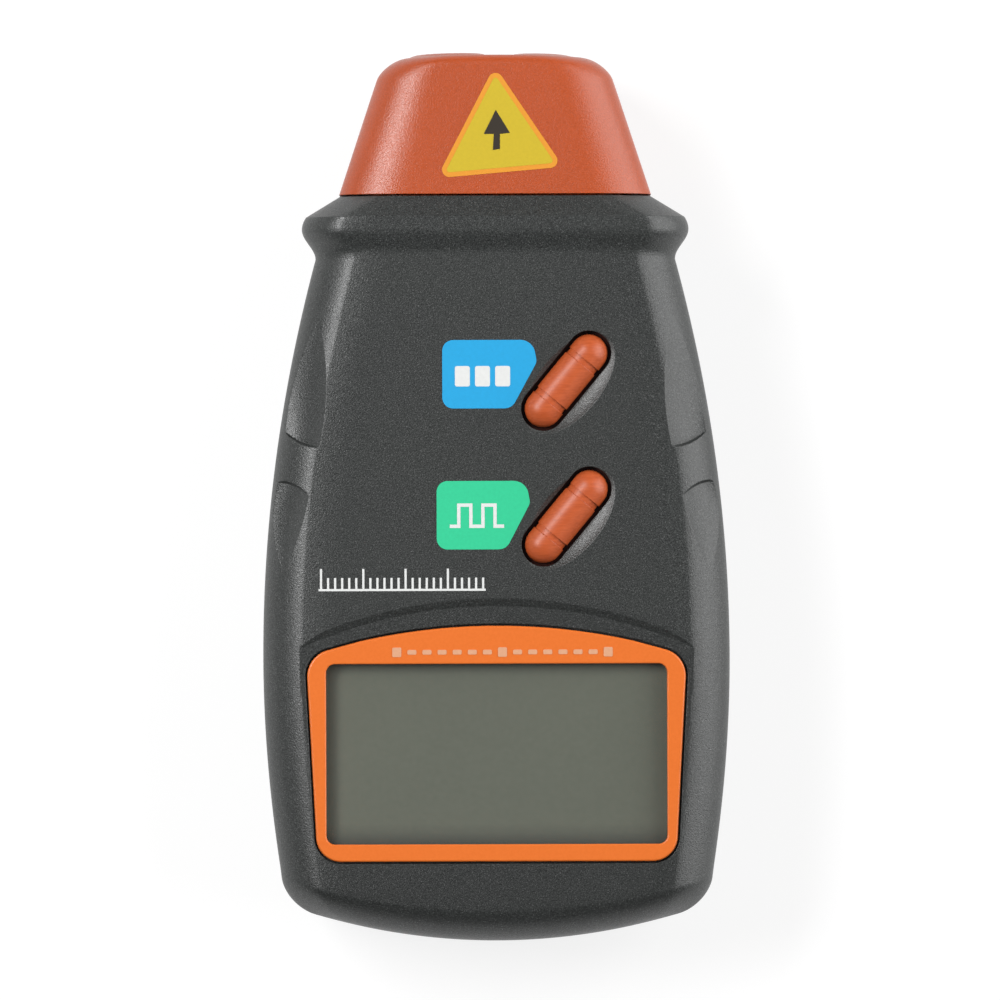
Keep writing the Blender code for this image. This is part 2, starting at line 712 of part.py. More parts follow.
def scoop(side, heel_x, heel_y, tip_x, tip_y):
    """Finger scoop: a round cutter that digs in at its heel and runs out at its tip."""
    rings = []
    for x, y, depth in ((heel_x, heel_y, SCOOP_DEPTH), (tip_x, tip_y, 0.0)):
        flat = half_width(y) - SIDE_BEVEL
        share = (x - flat) / SIDE_BEVEL
        height = SIDE_BEVEL_FOOT + (FACE_HEIGHT - SIDE_BEVEL_FOOT) * bevel_share(share)
        reach = SCOOP_RADIUS - depth
        centre_x = x + reach * math.sin(SCOOP_LEAN)
        centre_z = height + reach * math.cos(SCOOP_LEAN)
        ring = []
        for u, v in circle(0.0, 0.0, SCOOP_RADIUS, 2 * ROUND):
            along = SCOOP_SLANT * (centre_x + u - x)
            ring.append((side * (centre_x + u), y + along, centre_z + v))
        rings.append(ring)
    return loft(rings)


def finger_scoops():
    """The four scoops, a pair on each side."""
    cutters = []
    for side in (-1, 1):
        upper_y = SCOOP_RIB_Y + SCOOP_RIB_WIDTH / 2
        lower_y = SCOOP_RIB_Y - SCOOP_RIB_WIDTH / 2
        upper_tip = UPPER_SCOOP_HEEL_X - UPPER_SCOOP_LEAN
        lower_tip = LOWER_SCOOP_HEEL_X + LOWER_SCOOP_LEAN
        cutters.append(scoop(side, UPPER_SCOOP_HEEL_X, upper_y, upper_tip, upper_y + UPPER_SCOOP_LENGTH))
        cutters.append(scoop(side, LOWER_SCOOP_HEEL_X, lower_y, lower_tip, lower_y - LOWER_SCOOP_LENGTH))
    return cutters


def display_recess():
    """Shallow wedge cut out of the face round the display, running out at the foot."""
    edge_y = DISPLAY_Y + WINDOW_HEIGHT / 2 + BEZEL_CROWN + RECESS_MARGIN
    reach = BODY_HALF_WIDTH
    outline = [(-reach, FOOT_Y), (reach, FOOT_Y)]
    for x in steps(reach, -reach, 14):
        outline.append((x, edge_y - RECESS_ARC_RADIUS + math.sqrt(RECESS_ARC_RADIUS**2 - x**2)))
    end_y = DISPLAY_Y - WINDOW_HEIGHT / 2 - BEZEL_FOOT - RECESS_MARGIN
    floor = []
    for x, y in outline:
        share = (y - end_y) / (edge_y - end_y)
        floor.append((x, y, FACE_HEIGHT - RECESS_DEPTH * share))
    return loft([floor, [(x, y, FACE_HEIGHT + WALL) for x, y in outline]])


def button_dish(x, y):
    """Elliptical finger dish round a push button."""
    height = DISH_DEPTH + DISH_RISE
    spread = 1 / math.sqrt(1 - (DISH_RISE / height) ** 2)
    bm = bmesh.new()
    bmesh.ops.create_uvsphere(bm, u_segments=ROUND, v_segments=SMALL_ROUND, radius=1.0)
    cosine = math.cos(BUTTON_ANGLE)
    sine = math.sin(BUTTON_ANGLE)
    for vert in bm.verts:
        u = vert.co.x * DISH_LENGTH * spread
        v = vert.co.y * DISH_WIDTH * spread - DISH_OFFSET
        z = vert.co.z * height + FACE_HEIGHT + DISH_RISE
        vert.co = (x + u * cosine - v * sine, y + u * sine + v * cosine, z)
    return bm


def build_front_housing(finish):
    """Upper shell with its scoops, display seat, button guides and screw bosses."""
    plane = PARTING_HEIGHT + SEAT_GAP / 2
    shell = piece("front_housing", case_half(True, plane), finish)
    cut(shell, *finger_scoops())
    cut(shell, case_half(True, plane - WALL, WALL, COLLAR_Y - WALL))
    add(shell, prism(bezel_outline(HOLE_GAP), LEDGE_FOOT, INNER_FACE + WALL / 4))
    for _, x, y in button_places():
        guide = button_outline(x, y, BUTTON_FLANGE + SLIDE_GAP + GUIDE_WALL)
        foot = INNER_FACE - SEAT_GAP - BUTTON_FLANGE_THICKNESS - SLIDE_GAP
        add(shell, prism(guide, foot, INNER_FACE + WALL / 4))
    for x, y in case_screw_places():
        foot = circle(x, y, BOSS_RADIUS, SMALL_ROUND)
        boss_top = min(skin_height(u, v) for u, v in foot) - WALL / 2
        add(shell, prism(foot, plane, min(boss_top, INNER_FACE + WALL / 4)))
        pilot = circle(x, y, SCREW_RADIUS + HOLE_GAP, SMALL_ROUND)
        cut(shell, prism(pilot, plane - WALL, SCREW_HEAD_SINK + SCREW_HEAD_HEIGHT + SCREW_LENGTH + HOLE_GAP))
    for x, y in board_screw_places():
        add(shell, prism(circle(x, y, BOARD_BOSS_RADIUS, SMALL_ROUND), ON_BOARD, INNER_FACE + WALL / 4))
        pilot = circle(x, y, BOARD_SCREW_RADIUS + HOLE_GAP, SMALL_ROUND)
        cut(shell, prism(pilot, ON_BOARD - WALL, INNER_FACE - WALL / 4))
    cut(shell, display_recess())
    cut(shell, prism(bezel_outline(HOLE_GAP), LEDGE_TOP, FACE_HEIGHT + WALL))
    cut(shell, prism(bezel_outline(-LEDGE_WIDTH), LEDGE_FOOT - WALL, FACE_HEIGHT + WALL))
    for _, x, y in button_places():
        cut(shell, button_dish(x, y))
        cut(shell, prism(button_outline(x, y, BUTTON_GAP), INNER_FACE - WALL, FACE_HEIGHT + WALL))
        cut(shell, prism(button_outline(x, y, BUTTON_FLANGE + SLIDE_GAP), BOARD_TOP, INNER_FACE))
    cut(shell, bar(nose_outline(TONGUE_INSET - HOLE_GAP), COLLAR_Y - 2 * WALL, COLLAR_Y + WALL))
    return shell


# Back shell

def build_back_housing(finish):
    """Lower shell with the battery bay, the door's rails, screw bosses and the sensor board's posts."""
    plane = PARTING_HEIGHT - SEAT_GAP / 2
    shell = piece("back_housing", case_half(False, plane), finish)
    cut(shell, case_half(False, plane + WALL, WALL, COLLAR_Y - WALL))
    bay_wall_x = BAY_HALF_WIDTH + BAY_WALL
    bay_top = BOARD_FOOT - 2 * SEAT_GAP
    rail_y = DOOR_Y + WALL
    add(shell, box((-RAIL_HALF_WIDTH, BAY_Y - BAY_WALL, WALL / 2), (RAIL_HALF_WIDTH, rail_y, RAIL_TOP)))
    add(shell, box((-bay_wall_x, BAY_Y - BAY_WALL, WALL), (bay_wall_x, DOOR_Y, bay_top)))
    for x, y in case_screw_places():
        add(shell, prism(circle(x, y, BOSS_RADIUS, SMALL_ROUND), WALL / 2, plane))
        cut(shell, prism(circle(x, y, SCREW_RADIUS + HOLE_GAP, SMALL_ROUND), -WALL, plane + WALL))
        head = circle(x, y, SCREW_HEAD_RADIUS + HOLE_GAP, ROUND)
        cut(shell, prism(head, -WALL, SCREW_HEAD_SINK + SCREW_HEAD_HEIGHT + SEAT_GAP))
    for side in (-1, 1):
        add(shell, sensor_post(side))
    open_y = FOOT_Y - WALL
    plate_x = DOOR_HALF_WIDTH + SLIDE_GAP
    cut(shell, box((-BAY_HALF_WIDTH, BAY_Y, -WALL), (BAY_HALF_WIDTH, BAY_END_Y, bay_top + WALL)))
    cut(shell, box((-plate_x, open_y, -WALL), (plate_x, DOOR_Y, SLOT_FOOT + SLIDE_GAP)))
    cut(shell, box((-SLOT_HALF_WIDTH, open_y, SLOT_FOOT), (SLOT_HALF_WIDTH, DOOR_Y + WALL / 2, SLOT_TOP)))
    lip_y = FOOT_Y + DOOR_LIP_LENGTH + SLIDE_GAP
    lip_top = DOOR_LIP_HEIGHT + SLIDE_GAP
    cut(shell, box((-SLOT_HALF_WIDTH, open_y, -WALL), (SLOT_HALF_WIDTH, lip_y, lip_top)))
    notch_low = (-TERMINAL_SPACING, BAY_END_Y - WALL, OPTIC_HEIGHT - WALL)
    notch_high = (TERMINAL_SPACING, DOOR_Y + WALL, bay_top + WALL)
    cut(shell, box(notch_low, notch_high))
    cut(shell, bar(nose_outline(TONGUE_INSET - HOLE_GAP), COLLAR_Y - 2 * WALL, COLLAR_Y + WALL))
    return shell


def sensor_board_y():
    """Rear face of the sensor board."""
    return COLLAR_Y - WALL - SEAT_GAP - FLANGE_THICKNESS - SEAT_GAP - SENSOR_BOARD_THICKNESS


def sensor_post(side):
    """Post with a groove that the sensor board's edge stands in."""
    rear = sensor_board_y()
    inner = SENSOR_BOARD_HALF_WIDTH - WALL / 2
    outer = SENSOR_BOARD_HALF_WIDTH + WALL
    low_y = rear - SEAT_GAP - BAY_WALL
    high_y = rear + SENSOR_BOARD_THICKNESS + SEAT_GAP
    corners = [
        (inner, low_y),
        (outer, low_y),
        (outer, high_y),
        (SENSOR_BOARD_HALF_WIDTH + SEAT_GAP, high_y),
        (SENSOR_BOARD_HALF_WIDTH + SEAT_GAP, rear - SEAT_GAP),
        (inner, rear - SEAT_GAP),
    ]
    outline = [(side * x, y) for x, y in corners]
    return prism(outline, WALL / 2, PARTING_HEIGHT - SEAT_GAP / 2)


# Nose cap

def nose_form(inset, start, end):
    """Tapered outer form of the nose, or the same drawn in."""
    length = OVERALL_LENGTH / 2 - COLLAR_Y
    corner_y = OVERALL_LENGTH / 2 - PORT_BOSS_RISE - NOSE_CORNER_RADIUS
    end_y = OVERALL_LENGTH / 2 - PORT_BOSS_RISE
    places = [start] + [y for y in (corner_y,) if start < y < end]
    for a in steps(0.0, math.pi / 2, 5)[1:-1]:
        y = corner_y + NOSE_CORNER_RADIUS * math.sin(a)
        if start < y < end:
            places.append(y)
    places.append(end)
    rings = []
    for y in places:
        share = (y - COLLAR_Y) / length
        wide = NOSE_BASE_HALF_WIDTH + (NOSE_END_HALF_WIDTH - NOSE_BASE_HALF_WIDTH) * share - inset
        past = min(max((y - corner_y) / NOSE_CORNER_RADIUS, 0.0), 1.0)
        wide -= NOSE_CORNER_RADIUS * (1 - math.sqrt(1 - past**2))
        last = min(max((y - end_y + NOSE_END_ROUNDING) / NOSE_END_ROUNDING, 0.0), 1.0)
        deep = (FACE_HEIGHT - COLLAR_DROP - COLLAR_LIFT) / 2 - NOSE_SLOPE * share - inset
        deep -= NOSE_END_ROUNDING * (1 - math.sqrt(1 - last**2))
        radius = min(NOSE_BEVEL, wide * ROUNDING_LIMIT, deep * ROUNDING_LIMIT)
        outline = rectangle(0.0, OPTIC_HEIGHT, wide, deep, radius, 6)
        rings.append([(x, y, z) for x, z in outline])
    return loft(rings)


def port_places():
    """X of the receiving port and of the laser port."""
    return -PORT_SPACING / 2, PORT_SPACING / 2


def build_nose_cap(finish):
    """Hollow cap with a tongue and flange that the shells close on, and a socket behind each port."""
    end_y = OVERALL_LENGTH / 2
    base_y = COLLAR_Y + SEAT_GAP
    inner_end = end_y - PORT_BOSS_RISE - NOSE_END_WALL
    cap = piece("nose_cap", nose_form(0.0, base_y, end_y - PORT_BOSS_RISE), finish)
    flange_front = COLLAR_Y - WALL - SEAT_GAP
    flange_rear = flange_front - FLANGE_THICKNESS
    add(cap, bar(nose_outline(TONGUE_INSET), flange_rear, base_y + NOSE_WALL))
    add(cap, bar(nose_outline(TONGUE_INSET - FLANGE_STEP), flange_rear, flange_front))
    cut(cap, nose_form(NOSE_WALL, base_y + NOSE_WALL, inner_end))
    cut(cap, bar(nose_outline(TONGUE_INSET + TONGUE_WALL), flange_rear - WALL, base_y + 2 * NOSE_WALL))
    receiver_x, laser_x = port_places()
    receiver_bore = RECEIVER_LENS_RADIUS + HOLE_GAP
    add(cap, port_boss(receiver_x, receiver_bore), port_boss(laser_x, LASER_BORE_RADIUS))
    for x, body in ((receiver_x, RECEIVER_TUBE_RADIUS), (laser_x, LASER_BARREL_RADIUS)):
        socket = circle(x, OPTIC_HEIGHT, body + HOLE_GAP + SOCKET_WALL)
        add(cap, bar(socket, inner_end - SOCKET_DEPTH, inner_end + NOSE_END_WALL / 4))
        cut(cap, bar(circle(x, OPTIC_HEIGHT, body + HOLE_GAP), inner_end - 2 * SOCKET_DEPTH, inner_end))
    for x, radius in ((receiver_x, receiver_bore), (laser_x, LASER_BORE_RADIUS)):
        cut(cap, bar(circle(x, OPTIC_HEIGHT, radius), inner_end - WALL, end_y + WALL))
    return cap


def port_boss(x, bore):
    """Low round swelling of the nose's end that rises to a lip round a port."""
    foot = NOSE_END_WALL / 2
    profile = [(0.0, 0.0), (PORT_BOSS_RADIUS, 0.0)]
    for share in steps(0.0, 1.0, 5):
        radius = PORT_BOSS_RADIUS + (bore + PORT_LIP - PORT_BOSS_RADIUS) * share
        profile.append((radius, foot + PORT_BOSS_RISE * ease(share)))
    profile.append((0.0, foot + PORT_BOSS_RISE))
    return turned(profile, (x, OVERALL_LENGTH / 2 - PORT_BOSS_RISE - foot, OPTIC_HEIGHT), "Y")


# Optics

def build_optics(black, brass, glass, dark_glass):
    """Receiver tube with its photodiode and lens, and the laser barrel with its lens."""
    inner_end = OVERALL_LENGTH / 2 - PORT_BOSS_RISE - NOSE_END_WALL
    front = sensor_board_y() + SENSOR_BOARD_THICKNESS
    receiver_x, laser_x = port_places()
    tube_end = inner_end - SEAT_GAP
    tube_start = front + SEAT_GAP
    length = tube_end - tube_start
    bore = RECEIVER_TUBE_RADIUS - RECEIVER_TUBE_WALL
    outer = circle(receiver_x, OPTIC_HEIGHT, RECEIVER_TUBE_RADIUS)
    tube = piece("receiver_tube", bar(outer, tube_start, tube_end), black)
    cut(tube, bar(circle(receiver_x, OPTIC_HEIGHT, bore), tube_start - WALL, tube_end + WALL))
    dome = []
    dome_foot = PHOTODIODE_LENGTH - PHOTODIODE_RADIUS
    for a in steps(math.pi / 2, 0.0, 5):
        dome.append((PHOTODIODE_RADIUS * math.sin(a), dome_foot + PHOTODIODE_RADIUS * math.cos(a)))
    rim_radius = PHOTODIODE_RADIUS + PHOTODIODE_RIM
    diode = [(0.0, 0.0), (rim_radius, 0.0), (rim_radius, LENS_THICKNESS)]
    diode += [(PHOTODIODE_RADIUS, LENS_THICKNESS)] + dome
    piece("photodiode", turned(diode, (receiver_x, tube_start, OPTIC_HEIGHT), "Y", SMALL_ROUND), dark_glass)
    crown = []
    for share in steps(1.0, 0.0, 4):
        rise = LENS_THICKNESS + RECEIVER_LENS_CROWN * math.sqrt(1 - share**2)
        crown.append((RECEIVER_LENS_RADIUS * share, rise))
    lens = [(0.0, 0.0), (RECEIVER_LENS_RADIUS, 0.0)] + crown
    lens_y = tube_end + SEAT_GAP
    piece("receiver_lens", turned(lens, (receiver_x, lens_y, OPTIC_HEIGHT), "Y"), glass)
    rim = LASER_BARREL_RADIUS
    seat = LASER_LENS_RADIUS + HOLE_GAP
    seat_foot = length - 2 * LENS_THICKNESS
    barrel = [(0.0, 0.0), (rim - SEAT_GAP, 0.0), (rim, SEAT_GAP), (rim, length)]
    barrel += [(seat, length), (seat, seat_foot), (0.0, seat_foot)]
    piece("laser_barrel", turned(barrel, (laser_x, tube_start, OPTIC_HEIGHT), "Y"), brass)
    disc_y = tube_end - 2 * LENS_THICKNESS + SEAT_GAP
    disc = [(0.0, 0.0), (LASER_LENS_RADIUS, 0.0), (LASER_LENS_RADIUS, LENS_THICKNESS / 2)]
    disc += [(LASER_LENS_RADIUS / 2, LENS_THICKNESS), (0.0, LENS_THICKNESS + LASER_LENS_CROWN)]
    piece("laser_lens", turned(disc, (laser_x, disc_y, OPTIC_HEIGHT), "Y", SMALL_ROUND), glass)


# Display stack

def build_display(orange, clear, glass, white, rubber):
    """Bezel, window pane, liquid crystal glass in its carrier, and the two contact strips."""
    bezel = piece("display_border", prism(bezel_outline(), BEZEL_TOP - BEZEL_THICKNESS, BEZEL_TOP), orange)
    window = rectangle(0.0, DISPLAY_Y, WINDOW_LENGTH / 2, WINDOW_HEIGHT / 2, WINDOW_RADIUS)
    cut(bezel, prism(window, BEZEL_TOP - BEZEL_THICKNESS - WALL, BEZEL_TOP + WALL))
    piece("display_lens", prism(bezel_outline(-LEDGE_WIDTH - HOLE_GAP), PANE_FOOT, PANE_TOP), clear)
    piece("lcd_panel", prism(glass_outline(), GLASS_FOOT, GLASS_TOP), glass)
    frame = glass_outline(HOLE_GAP + CARRIER_WALL, CARRIER_CORNER)
    carrier = piece("lcd_carrier", prism(frame, ON_BOARD, GLASS_TOP - CARRIER_DROP), white)
    cut(carrier, prism(glass_outline(HOLE_GAP), ON_BOARD - WALL, GLASS_TOP + WALL))
    for name, side in (("upper", 1), ("lower", -1)):
        half_x = WINDOW_LENGTH / 2
        y = DISPLAY_Y + side * (WINDOW_HEIGHT / 2 + GLASS_MARGIN - STRIP_WIDTH / 2)
        strip = rectangle(0.0, y, half_x, STRIP_WIDTH / 2)
        piece(f"zebra_strip_{name}", prism(strip, ON_BOARD, GLASS_FOOT - SEAT_GAP), rubber)


# Buttons and their switches

def build_button(name, x, y, finish):
    """Capsule button with a half-round top, two cross grooves, a flange under the face and a stem."""
    foot = INNER_FACE - SEAT_GAP - BUTTON_FLANGE_THICKNESS
    top = FACE_HEIGHT + BUTTON_STANDS_PROUD
    radius = BUTTON_WIDTH / 2
    origin = (x, y, top)
    rings = []
    spring_line = top - radius
    for a in steps(0.0, BUTTON_TOP_SWEEP, 6):
        shrink = radius * (1 - math.cos(a))
        outline = button_outline(x, y, -shrink)
        rings.append([(px, py, spring_line + radius * math.sin(a)) for px, py in outline])
    rings.insert(0, [(px, py, foot) for px, py in button_outline(x, y)])
    button = piece(f"{name}_button", loft(rings), finish, origin)
    add(button, prism(button_outline(x, y, BUTTON_FLANGE), foot, foot + BUTTON_FLANGE_THICKNESS))
    stem_foot = ON_BOARD + SWITCH_HEIGHT + PLUNGER_HEIGHT - PLUNGER_DEPTH + SEAT_GAP
    stem = circle(x, y, BUTTON_STEM_RADIUS, SMALL_ROUND)
    add(button, prism(stem, stem_foot, foot + BUTTON_FLANGE_THICKNESS / 2))
    along = Vector((math.cos(BUTTON_ANGLE), math.sin(BUTTON_ANGLE)))
    for side in (-1, 1):
        middle = Vector((x, y)) + along * side * BUTTON_GROOVE_FROM_CENTRE
        cut(button, button_groove(middle, along, spring_line, radius))
    return button


def button_groove(middle, along, spring_line, radius):
    """Cutter for a cross groove: an arch over the button's long axis, with straight legs down its sides."""
    across = Vector((-along.y, along.x))
    half = BUTTON_GROOVE_WIDTH / 2
    path = [(1.0, -BUTTON_GROOVE_WIDTH)]
    path += [(math.cos(a), radius * math.sin(a)) for a in steps(0.0, math.pi, 10)]
    path.append((-1.0, -BUTTON_GROOVE_WIDTH))
    rings = []
    for share, rise in path:
        ring = []
        wide_edge = ((-half, WALL), (half, WALL))
        deep_edge = ((half / 2, -BUTTON_GROOVE_DEPTH), (-half / 2, -BUTTON_GROOVE_DEPTH))
        for u, reach in wide_edge + deep_edge:
            place = middle + along * u + across * (radius + reach) * share
            lift = rise * (radius + reach) / radius if rise > 0 else rise
            ring.append((place.x, place.y, spring_line + lift))
        rings.append(ring)
    return loft(rings)


def build_switch(name, x, y, dark, light):
    """Tact switch: a square body with a round well, and the plunger in it."""
    body = piece(
        f"{name}_switch",
        prism(rectangle(x, y, SWITCH_SIDE / 2, SWITCH_SIDE / 2), ON_BOARD, ON_BOARD + SWITCH_HEIGHT),
        dark,
    )
    well_foot = ON_BOARD + SWITCH_HEIGHT - PLUNGER_DEPTH - SEAT_GAP
    well = circle(x, y, PLUNGER_RADIUS + SLIDE_GAP, SMALL_ROUND)
    cut(body, prism(well, well_foot, ON_BOARD + 2 * SWITCH_HEIGHT))
    foot = ON_BOARD + SWITCH_HEIGHT - PLUNGER_DEPTH
    plunger = prism(circle(x, y, PLUNGER_RADIUS, SMALL_ROUND), foot, foot + PLUNGER_HEIGHT)
    piece(f"{name}_plunger", plunger, light, (x, y, foot + PLUNGER_HEIGHT))


# Boards and what is on them

def board_outline():
    """Main board: wide under the keys and the display, narrow where it reaches the sensor board."""
    foot = FOOT_Y + LOWER_SCREW_FROM_FOOT + BOSS_RADIUS + SEAT_GAP
    shoulder = COLLAR_Y - UPPER_SCREW_BELOW_COLLAR - BOSS_RADIUS - SEAT_GAP
    end = sensor_board_y() - SEAT_GAP
    right = [(half_width(y) - BOARD_EDGE, y) for y in steps(foot, shoulder, 6)]
    right += [(BOARD_TONGUE_HALF_WIDTH, shoulder), (BOARD_TONGUE_HALF_WIDTH, end)]
    return right + [(-x, y) for x, y in reversed(right)]


def build_boards(green, dark, steel, sleeve):
    """Main board and sensor board, the header between them and the tall components."""
    board = piece("main_board", prism(board_outline(), BOARD_FOOT, BOARD_TOP), green)
    for x, y in board_screw_places():
        hole = circle(x, y, BOARD_SCREW_RADIUS + HOLE_GAP, SMALL_ROUND)
        cut(board, prism(hole, BOARD_FOOT - WALL, BOARD_TOP + WALL))
    rear = sensor_board_y()
    front = rear + SENSOR_BOARD_THICKNESS
    low = BOARD_FOOT - SENSOR_BOARD_DROP
    upright = box((-SENSOR_BOARD_HALF_WIDTH, rear, low), (SENSOR_BOARD_HALF_WIDTH, front, BOARD_TOP))
    piece("sensor_board", upright, green)
    header_top = BOARD_FOOT - SEAT_GAP
    header_y = rear - SEAT_GAP
    header = box(
        (-HEADER_LENGTH / 2, header_y - HEADER_HEIGHT, header_top - HEADER_HEIGHT),
        (HEADER_LENGTH / 2, header_y, header_top),
    )
    piece("pin_header", header, dark)
    memory_y = COLLAR_Y - MEMORY_BUTTON_BELOW_COLLAR
    chip_x = -BUTTON_X
    chip = rectangle(chip_x, memory_y - BUTTON_PITCH / 2, CHIP_SIDE / 2, CHIP_SIDE / 2)
    piece("microcontroller", prism(chip, ON_BOARD, ON_BOARD + CHIP_HEIGHT), dark)
    crystal_y = memory_y + CRYSTAL_WIDTH
    can = capsule(chip_x, crystal_y, CRYSTAL_LENGTH / 2, CRYSTAL_WIDTH / 2, 0.0, 6)
    piece("crystal", prism(can, ON_BOARD, ON_BOARD + CRYSTAL_HEIGHT), steel)
    capacitor_y = crystal_y + CRYSTAL_WIDTH + CAPACITOR_RADIUS
    tube = turned(
        [
            (0.0, 0.0),
            (CAPACITOR_RADIUS, 0.0),
            (CAPACITOR_RADIUS, CAPACITOR_LENGTH),
            (0.0, CAPACITOR_LENGTH),
        ],
        (chip_x - CAPACITOR_LENGTH / 2, capacitor_y, ON_BOARD + CAPACITOR_RADIUS),
        "X",
        SMALL_ROUND,
    )
    piece("capacitor", tube, sleeve)


# Battery, clip, leads and door

def build_battery(dark, snap_black, red, black):
    """Nine volt block with its two terminals, the clip on them and its leads."""
    middle_z = (BATTERY_FOOT + BATTERY_TOP) / 2
    outline = rectangle(0.0, middle_z, BATTERY_WIDTH / 2, BATTERY_DEPTH / 2, BATTERY_EDGE_RADIUS)
    end_y = BATTERY_Y + BATTERY_BODY_LENGTH
    battery = piece("battery", bar(outline, BATTERY_Y, end_y), dark)
    for x, radius, count in (
        (-TERMINAL_SPACING / 2, SMALL_TERMINAL_RADIUS, SMALL_ROUND),
        (TERMINAL_SPACING / 2, LARGE_TERMINAL_RADIUS, HEXAGON),
    ):
        terminal = circle(x, middle_z, radius, count)
        add(battery, bar(terminal, end_y - TERMINAL_HEIGHT, end_y + TERMINAL_HEIGHT))
    half_x = BATTERY_WIDTH / 2 - BAY_CLEARANCE
    plate = rectangle(0.0, middle_z, half_x, SNAP_HEIGHT / 2, SNAP_HEIGHT / 4)
    piece("battery_snap", bar(plate, SNAP_Y, SNAP_Y + SNAP_THICKNESS), snap_black)
    for name, side, finish in (("red_lead", -1, red), ("black_lead", 1, black)):
        build_lead(name, side * TERMINAL_SPACING / 4, finish)


def build_lead(name, x, finish):
    """Lead from the clip over the wall of the bay and up to the underside of the main board."""
    start_y = SNAP_Y + SNAP_THICKNESS + SEAT_GAP
    start_z = (BATTERY_FOOT + BATTERY_TOP) / 2 + SNAP_HEIGHT / 2 - 2 * LEAD_RADIUS
    end_z = BOARD_FOOT - SEAT_GAP
    reach = DOOR_Y + 2 * WALL - start_y
    points = []
    for a in steps(0.0, math.pi / 2, 12):
        points.append((x, start_y + reach * math.sin(a), start_z + (end_z - start_z) * (1 - math.cos(a))))
    curve = bpy.data.curves.new(name, "CURVE")
    curve.dimensions = "3D"
    curve.bevel_depth = LEAD_RADIUS
    curve.bevel_resolution = 2
    curve.use_fill_caps = True
    spline = curve.splines.new("POLY")
    spline.points.add(len(points) - 1)
    for point, place in zip(spline.points, points):
        point.co = (*place, 1.0)
    curve.materials.append(finish)
    bpy.context.collection.objects.link(bpy.data.objects.new(name, curve))


def build_battery_door(finish):
    """Door plate with a tongue on three sides that runs in the shell's slots, and a lip round the foot."""
    skin_top = DOOR_INSET + DOOR_SKIN
    chunk = case_half(False, PARTING_HEIGHT, DOOR_INSET)
    origin = (0.0, DOOR_Y, DOOR_INSET)
    door = piece("battery_door", chunk, finish, origin)
    tongue_x = DOOR_HALF_WIDTH + DOOR_TONGUE_WIDTH
    lip_y = FOOT_Y + DOOR_LIP_LENGTH
    right = [(tongue_x, FOOT_Y - WALL), (tongue_x, lip_y), (DOOR_HALF_WIDTH, lip_y)]
    right.append((DOOR_HALF_WIDTH, DOOR_Y - SLIDE_GAP))
    outline = right + [(-x, y) for x, y in reversed(right)]
    combine(door, prism(outline, -WALL, DOOR_LIP_HEIGHT), "INTERSECT")
    cut(door, box((-BODY_HALF_WIDTH, lip_y, skin_top), (BODY_HALF_WIDTH, COLLAR_Y, FACE_HEIGHT)))
    tongue_end = DOOR_Y + WALL / 2 - SLIDE_GAP
    add(door, box((-tongue_x, BAY_Y, skin_top - DOOR_SKIN / 3), (tongue_x, tongue_end, DOOR_INNER)))
    for i in range(GRIP_COUNT):
        y = BAY_Y + GRIP_FROM_BAY + i * GRIP_PITCH
        groove = capsule(0.0, y, GRIP_LENGTH / 2, GRIP_WIDTH / 2, 0.0, 4)
        cut(door, prism(groove, -WALL, DOOR_INSET + GRIP_DEPTH))
    return door


# Screws

def build_screw(name, x, y, foot, radius, length, head_radius, head_height, finish):
    """Pan-head screw, head down, with a cross slot."""
    screw = piece(name, prism(circle(x, y, head_radius, SMALL_ROUND), foot, foot + head_height), finish)
    add(screw, prism(circle(x, y, radius, SMALL_ROUND), foot + head_height / 2, foot + head_height + length))
    half = SCREW_SLOT_WIDTH / 2 * head_radius / SCREW_HEAD_RADIUS
    reach = SCREW_SLOT_LENGTH / 2 * head_radius / SCREW_HEAD_RADIUS
    depth = SCREW_SLOT_DEPTH * head_height / SCREW_HEAD_HEIGHT
    cross = [(half, half), (half, reach), (-half, reach), (-half, half), (-reach, half), (-reach, -half)]
    cross += [(-x0, -y0) for x0, y0 in cross]
    cut(screw, prism([(x + u, y + v) for u, v in cross], foot - WALL, foot + depth))


def build_screws(steel):
    """Four screws through the back into the front shell, and four that hold the main board."""
    for i, (x, y) in enumerate(case_screw_places(), 1):
        build_screw(
            f"case_screw_{i}",
            x,
            y,
            SCREW_HEAD_SINK,
            SCREW_RADIUS,
            SCREW_LENGTH,
            SCREW_HEAD_RADIUS,
            SCREW_HEAD_HEIGHT,
            steel,
        )
    for i, (x, y) in enumerate(board_screw_places(), 1):
        build_screw(
            f"board_screw_{i}",
            x,
            y,
            BOARD_FOOT - SEAT_GAP - BOARD_SCREW_HEAD_HEIGHT,
            BOARD_SCREW_RADIUS,
            BOARD_SCREW_LENGTH,
            BOARD_SCREW_HEAD_RADIUS,
            BOARD_SCREW_HEAD_HEIGHT,
            steel,
        )


def clear_scene():
    """Remove whatever the scene holds."""
    for obj in list(bpy.data.objects):
        bpy.data.objects.remove(obj)


